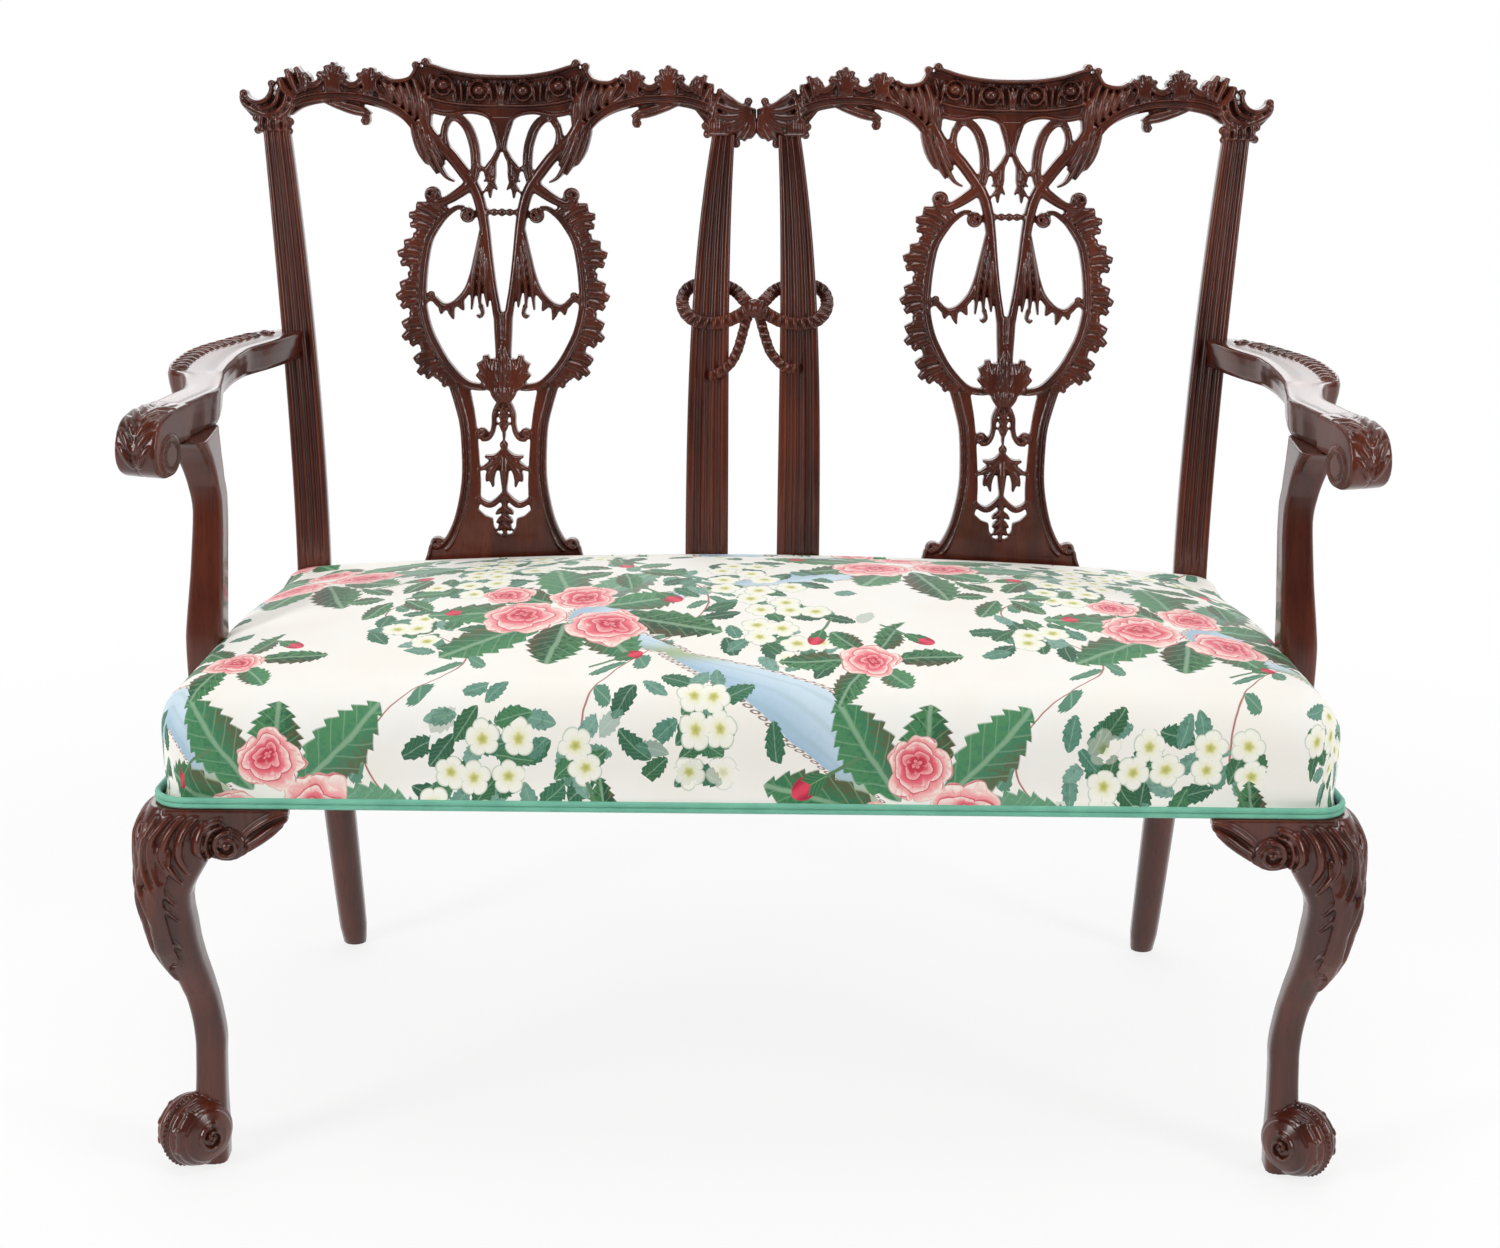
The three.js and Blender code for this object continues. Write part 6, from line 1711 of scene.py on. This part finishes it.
def scatter(finish, uv, under, scale, places, reach, tones, ink):
    """Small leaves, one to a cell and each turned its own way, near the places."""
    spot, chance, local = finish.cells(uv, scale, 0.85)
    turned = finish.node("ShaderNodeVectorRotate", {"rotation_type": "Z_AXIS"}, {
        "Vector": local, "Angle": chance[0] * FULL_TURN})[0]
    at = finish.parts(turned)
    near = nearest(finish, spot, places)[1]
    kept = finish.cut(near + chance[1] * 0.7, reach, reach + 0.02, 1.0, 0.0)
    inside, ribs = leaf_shape(finish, at[0] * scale * 1.05 + 0.5, abs(at[1]) * scale * 1.05, 0.27, 6)
    leaf = finish.mix(chance[2], *tones)
    leaf = finish.mix(ribs * 0.55, leaf, (0.30, 0.48, 0.33))
    leaf = finish.mix(finish.range(ink, 0.5, 0.62) * 0.3, leaf, (0.02, 0.07, 0.04))
    return finish.mix(inside * kept, under, leaf)


def blossom(finish, uv, under, scale, places, reach):
    """White five-petalled blossom with yellow-green hearts, in bunches at the places."""
    spot, chance, local = finish.cells(uv, scale, 0.55)
    at = finish.parts(local)
    far = finish.vector("LENGTH", local)["Value"] * scale * 1.9
    turn = at[1].step("ARCTAN2", at[0]) * 2.5 + chance[0] * FULL_TURN
    lobes = abs(turn.step("COSINE")) ** 0.6
    near = nearest(finish, spot, places)[1]
    kept = finish.cut(near, reach, reach + 0.02, 1.0, 0.0)
    edge = lobes * 0.24 + 0.74
    inside = finish.cut(edge - far, 0.0, 0.02)
    petal = finish.ramp(
        far / edge, (0.0, (0.42, 0.45, 0.08)), (0.2, (0.62, 0.6, 0.2)), (0.36, (0.86, 0.85, 0.62)),
        (0.62, (0.92, 0.9, 0.8)), (0.88, (0.9, 0.89, 0.8)), (1.0, (0.42, 0.5, 0.36)))
    petal = finish.mix(
        finish.range(lobes, 0.0, 0.3, 1.0, 0.0) * finish.range(far, 0.3, 0.6) * 0.6, petal,
        (0.5, 0.56, 0.38))
    return finish.mix(inside * kept, under, petal)


def spray(finish, uv, under, places, count, ink):
    """Large dark leaves that spread all round each place."""
    local, far = nearest(finish, uv, places)
    at = finish.parts(local)
    sector = at[1].step("ARCTAN2", at[0]) * (count / FULL_TURN)
    which = sector.step("ROUND")
    angle = (sector - which) * (FULL_TURN / count)
    chance = finish.node("ShaderNodeTexWhiteNoise", {"noise_dimensions": "1D"}, {"W": which + 0.37 * count})
    tone = finish.node("ShaderNodeSeparateColor", None, {0: chance["Color"]})
    reach = 0.72 + tone[0] * 0.36
    along = (far * angle.step("COSINE") - 0.2) / (reach - 0.2)
    aside = far * angle.step("SINE")
    inside, ribs = leaf_shape(finish, along, abs(aside), 0.2, 8)
    leaf = finish.ramp(
        tone[1], (0.0, (0.006, 0.06, 0.022)), (0.45, (0.02, 0.13, 0.05)), (0.7, (0.04, 0.2, 0.09)),
        (0.85, (0.2, 0.38, 0.3)))
    leaf = finish.mix(finish.range(ink + along * 0.1 + aside, 0.5, 0.66) * 0.55, leaf, (0.08, 0.28, 0.1))
    leaf = finish.mix(
        finish.range(ink - aside * 2.5 - along * 0.2, 0.5, 0.75) * 0.5, leaf, (0.14, 0.05, 0.02))
    leaf = finish.mix(ribs * 0.6, leaf, (0.33, 0.5, 0.33))
    return finish.mix(inside, under, leaf)


def rose(finish, uv, under, places, ink):
    """Full roses: rings of lobed petals, crimson at the heart and pale pink at the rim."""
    bent = finish.noise(uv, 42, 1, 0.5)["Color"]
    local = nearest(finish, uv, places)[0]
    local = finish.vector(
        "MULTIPLY_ADD", bent, (0.5, 0.5, 0), finish.vector("SUBTRACT", local, (0.25, 0.25, 0))["Vector"])
    local = local["Vector"]
    outer = finish.vector("LENGTH", local)["Value"]
    at = finish.parts(local)
    x, y = at[0] * 1.08 + (1 - outer) * 0.14, at[1] - (1 - outer) * 0.16
    angle = y.step("ARCTAN2", x)
    far = (x * x + y * y).step("SQRT")
    level = (far * 3.4).step("FLOOR")
    lobe = abs((angle * 2.0 + level * 2.3).step("SINE")) ** 0.6
    band = (far * 3.4 - lobe * 0.55).step("FRACT")
    rim = abs((angle * 2.5 + 3.8).step("SINE")) ** 0.55 * 0.22 + 0.8
    inside = finish.cut(rim - outer, 0.0, 0.02)
    body = finish.ramp(
        far, (0.0, (0.36, 0.006, 0.025)), (0.25, (0.62, 0.025, 0.06)), (0.48, (0.8, 0.12, 0.17)),
        (0.78, (0.88, 0.36, 0.36)), (1.0, (0.9, 0.58, 0.53)))
    pale = finish.mix(finish.range(far, 0.15, 0.9), (0.86, 0.3, 0.32), (0.95, 0.82, 0.74))
    petal = finish.mix(finish.range(band + ink * 0.5, 0.55, 1.25), body, pale)
    petal = finish.mix(finish.range(band, 0.0, 0.2, 0.9, 0.0), petal, (0.58, 0.04, 0.08))
    streak = finish.noise(finish.join(angle * 5.0, far * 2.0), 1.6, 3, 0.6)[0]
    petal = finish.mix(finish.range(streak, 0.5, 0.66) * 0.4, petal, (0.74, 0.1, 0.15))
    petal = finish.mix(finish.range(rim - outer, 0.02, 0.06, 0.55, 0.0), petal, (0.66, 0.26, 0.26))
    return finish.mix(inside, under, petal)


def bud(finish, uv, under, places):
    """Red buds in green cups, each on a short stalk."""
    local = nearest(finish, uv, places)[0]
    at = finish.parts(local)
    side = abs(at[1])
    stalk = finish.cut(side, 0.05, 0.09, 1.0, 0.0) * finish.range(abs(at[0] + 1.0), 0.95, 1.0, 1.0, 0.0)
    under = finish.mix(stalk, under, (0.10, 0.22, 0.10))
    round_part = finish.cut(
        finish.vector("LENGTH", finish.moved(local, location=(-0.35, 0, 0), scale=(1, 1.5, 1)))["Value"],
        0.6, 0.63, 1.0, 0.0)
    red = finish.mix(finish.range(side, 0.05, 0.3), (0.72, 0.05, 0.1), (0.45, 0.01, 0.05))
    under = finish.mix(round_part, under, red)
    cup, ribs = leaf_shape(finish, at[0] * 0.75 + 0.42, side * 0.75, 0.34, 5)
    cup = cup * finish.cut(at[0] - side * 0.9, 0.1, 0.16, 1.0, 0.0)
    return finish.mix(cup, under, finish.mix(ribs, (0.03, 0.16, 0.06), (0.2, 0.36, 0.16)))


def ribbon_print(finish, uv, under, ink):
    """A pale blue ribbon that winds over the cloth, twisting as it goes, with a beaded edge."""
    split = finish.parts(uv)
    sweep_at = split[1] * (FULL_TURN / REPEAT[1])
    swing = sweep_at.step("SINE") * 0.135 + (sweep_at * 2 + 0.8).step("SINE") * 0.022
    slope = sweep_at.step("COSINE") * 1.55
    away = split[0] - swing
    away = away.step("WRAP", REPEAT[0] / 2, -REPEAT[0] / 2) / (slope * slope + 1).step("SQRT")
    twist = abs((sweep_at * 1.5 + 0.5).step("SINE"))
    half = twist ** 0.6 * 0.021 + 0.005
    side = abs(away)
    inside = finish.cut(half - side, 0.0, 0.0007)
    silk = finish.mix(
        finish.range(away / half + ink * 0.5, -0.9, 1.0), (0.36, 0.52, 0.66), (0.6, 0.73, 0.82))
    silk = finish.mix(finish.range(twist, 0.0, 0.45, 1.0, 0.0) * 0.8, silk, (0.38, 0.44, 0.16))
    folds = (away * 300 + split[1] * 90).step("SINE")
    silk = finish.mix(finish.range(folds, 0.4, 1.0) * 0.25, silk, (0.3, 0.47, 0.5))
    under = finish.mix(inside, under, silk)
    offset = ((split[1] * (1 / BEAD_STEP)).step("FRACT") - 0.5) * BEAD_STEP
    gap = side - half - 0.0022
    ring = (offset * offset * 1.6 + gap * gap).step("SQRT")
    bead = finish.cut(abs(ring - 0.0019), 0.0004, 0.0009, 1.0, 0.0)
    return finish.mix(bead * 0.85, under, (0.16, 0.06, 0.045))


def vine(finish, uv, under):
    """Thin brown-pink vines with small leaves set on both sides."""
    split = finish.parts(uv)
    for start, swing, turns, phase in ((0.3, 0.045, 2, 0.4), (-0.1, 0.06, 1, 2.4)):
        at = split[1] * (FULL_TURN * turns / REPEAT[1]) + phase
        away = split[0] - start - at.step("SINE") * swing
        away = away.step("WRAP", REPEAT[0] / 2, -REPEAT[0] / 2)
        side = abs(away)
        under = finish.mix(finish.cut(side, 0.0006, 0.0013, 1.0, 0.0), under, (0.42, 0.15, 0.13))
        rank = split[1] * 36 + side * 30 + away.step("SIGN") * 0.25
        chance = finish.node("ShaderNodeTexWhiteNoise", {"noise_dimensions": "1D"}, {
            "W": rank.step("FLOOR") + away.step("SIGN") * 0.5})["Value"]
        across = abs(rank.step("FRACT") - 0.5) * 0.62
        inside, ribs = leaf_shape(finish, side / (0.014 + chance * 0.016), across, 0.25, 5)
        tone = finish.mix(chance, (0.03, 0.16, 0.07), (0.13, 0.3, 0.22))
        under = finish.mix(
            inside * finish.cut(chance, 0.42, 0.44), under, finish.mix(ribs * 0.5, tone, (0.34, 0.5, 0.34)))
    return under


# Hidden and carried-over pieces

class SETTEE_OT_frame(bpy.types.Operator):
    """Finishes the pieces of the frame that stay as they were joined"""

    bl_idname = "settee.frame"
    bl_label = "Finish the frame"

    def execute(self, context):
        cotton = cloth("Undyed cotton", *CALICO)
        finishes = {
            "carved_wood": carved_wood(), "frame_wood": plain_wood(), "steel": steel(),
            "webbing": cloth("Jute webbing", *JUTE, JUTE_THREADS), "stuffing": cotton, "seat_cloth": cotton,
            "welt_cloth": cloth("Jade cloth", (0.16, 0.45, 0.32), (0.1, 0.34, 0.23)),
            "dust_cloth": cloth("Black cambric", *CAMBRIC),
        }
        slots = {s["node"]: s["material_slot"] for s in frame["record"].get("subparts", [])}
        for name, node in frame["nodes"].items():
            node.data.materials.clear()
            node.data.materials.append(finishes[slots.get(name, "carved_wood")])
        return {"FINISHED"}


# Stage

# Each lamp's name, place, size and power
LAMPS = (
    ("Left softbox", (-2.6, -1.9, 1.6), (0.8, 2.0), 52),
    ("Right softbox", (2.6, -1.8, 1.6), (0.8, 2.0), 42),
    ("Top softbox", (0.1, -0.6, 3.1), (1.8, 1.0), 24),
    ("Back softbox", (0, 3.2, 2.0), (4.0, 1.2), 29),
)
LAMPS_AIM = Vector((0, 0.05, 0.55))

# The camera, fitted to the photograph's four feet and its seat
CAMERA_PLACE = Vector((-0.0018, -2.8082, 1.3346))
CAMERA_TILT = math.radians(16.84)
CAMERA_ROLL = math.radians(0.5565)
FOCAL_PIXELS = 2800
PHOTO_LONG_SIDE = 1500
SENSOR_WIDTH = 36.0


class SETTEE_OT_stage(bpy.types.Operator):
    """Lays the floor and sets the lamps and the camera"""

    bl_idname = "settee.stage"
    bl_label = "Set the stage"

    def execute(self, context):
        scene = context.scene
        work = bmesh.new()
        bmesh.ops.create_grid(work, x_segments=1, y_segments=1, size=20)
        floor = make_object("Floor", work)
        paper = Finish("White paper floor")
        light = paper.node("ShaderNodeLightPath")
        mirrored_in = light["Is Glossy Ray"] + light["Is Transmission Ray"]
        place = paper.place()
        ahead = paper.parts(place)[1]
        laid = paper.range(ahead, -2.4, -1.1)
        tone = paper.noise(place, 3.0, 2, 0.5)[0]
        white = paper.mix(tone * 0.1, (0.9, 0.9, 0.9), (0.88, 0.88, 0.88))
        paper.done(base_color=paper.mix(laid, (0.12, 0.12, 0.12), white), roughness=0.9)
        glow = paper.node("ShaderNodeEmission", None, {"Color": (1, 1, 1), "Strength": 1.0})[0]
        far = paper.range(paper.vector("LENGTH", place)["Value"], 0.95, 1.9, 0.8, 1.0)
        white_seen = (light["Is Camera Ray"] + mirrored_in * laid) * far
        blend = paper.node("ShaderNodeMixShader", None, {
            0: white_seen, 1: Signal(paper, paper.shader.outputs[0]), 2: glow})[0]
        paper.feed(paper.tree.nodes["Material Output"].inputs["Surface"], blend)
        floor.data.materials.append(paper.material)
        sky = Finish("Studio", "Background", "worlds")
        ahead = sky.parts(sky.node("ShaderNodeTexCoord")["Generated"])[1]
        seen = sky.node("ShaderNodeLightPath")["Is Camera Ray"]
        scene.world = sky.done(
            color=(1, 1, 1), strength=sky.range(ahead, -0.1, 0.35, 0.16, 1.0).step("MAXIMUM", seen))
        for name, spot, size, power in LAMPS:
            data = bpy.data.lights.new(name, "AREA")
            data.shape = "RECTANGLE"
            data.size, data.size_y = size
            data.energy = power
            lamp = linked(name, data)
            lamp.location = spot
            lamp.rotation_euler = (LAMPS_AIM - Vector(spot)).to_track_quat("-Z", "Y").to_euler()
        ahead = Vector((0, math.cos(CAMERA_TILT), -math.sin(CAMERA_TILT)))
        up = Vector((0, math.sin(CAMERA_TILT), math.cos(CAMERA_TILT)))
        right = Vector((1, 0, 0))
        turned_right = right * math.cos(CAMERA_ROLL) + up * math.sin(CAMERA_ROLL)
        turned_up = up * math.cos(CAMERA_ROLL) - right * math.sin(CAMERA_ROLL)
        data = bpy.data.cameras.new("Camera")
        data.sensor_fit = "HORIZONTAL"
        data.sensor_width = SENSOR_WIDTH
        data.lens = FOCAL_PIXELS / PHOTO_LONG_SIDE * SENSOR_WIDTH
        camera = linked("Camera", data)
        turned = Matrix((turned_right, turned_up, -ahead)).transposed().to_4x4()
        camera.matrix_world = Matrix.Translation(CAMERA_PLACE) @ turned
        scene.camera = camera
        scene.view_settings.view_transform = "Standard"
        return {"FINISHED"}


class SETTEE_PT_panel(bpy.types.Panel):
    bl_idname = "SETTEE_PT_panel"
    bl_label = "Chair-back settee"
    bl_space_type = "VIEW_3D"
    bl_region_type = "UI"
    bl_category = "Settee"

    def draw(self, context):
        layout = self.layout
        for group in (context.scene.settee_sizes, context.scene.settee_colours):
            for name in group.bl_rna.properties.keys():
                if name not in ("rna_type", "name"):
                    layout.prop(group, name)
        for operator in STEPS:
            layout.operator(operator.bl_idname)


STEPS = (SETTEE_OT_frame, SETTEE_OT_splats, SETTEE_OT_crests, SETTEE_OT_posts, SETTEE_OT_bow,
         SETTEE_OT_arms, SETTEE_OT_legs, SETTEE_OT_seat, SETTEE_OT_trimmings, SETTEE_OT_stage)
CLASSES = (SetteeSizes, SetteeColours, *STEPS, SETTEE_PT_panel)


def register():
    for cls in CLASSES:
        bpy.utils.register_class(cls)
    bpy.types.Scene.settee_sizes = PointerProperty(type=SetteeSizes)
    bpy.types.Scene.settee_colours = PointerProperty(type=SetteeColours)


def unregister():
    del bpy.types.Scene.settee_colours
    del bpy.types.Scene.settee_sizes
    for cls in reversed(CLASSES):
        bpy.utils.unregister_class(cls)


def main():
    """Builds everything."""
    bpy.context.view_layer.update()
    register()
    for operator in STEPS:
        group, name = operator.bl_idname.split(".")
        getattr(getattr(bpy.ops, group), name)()


if __name__ == "__main__":
    main()
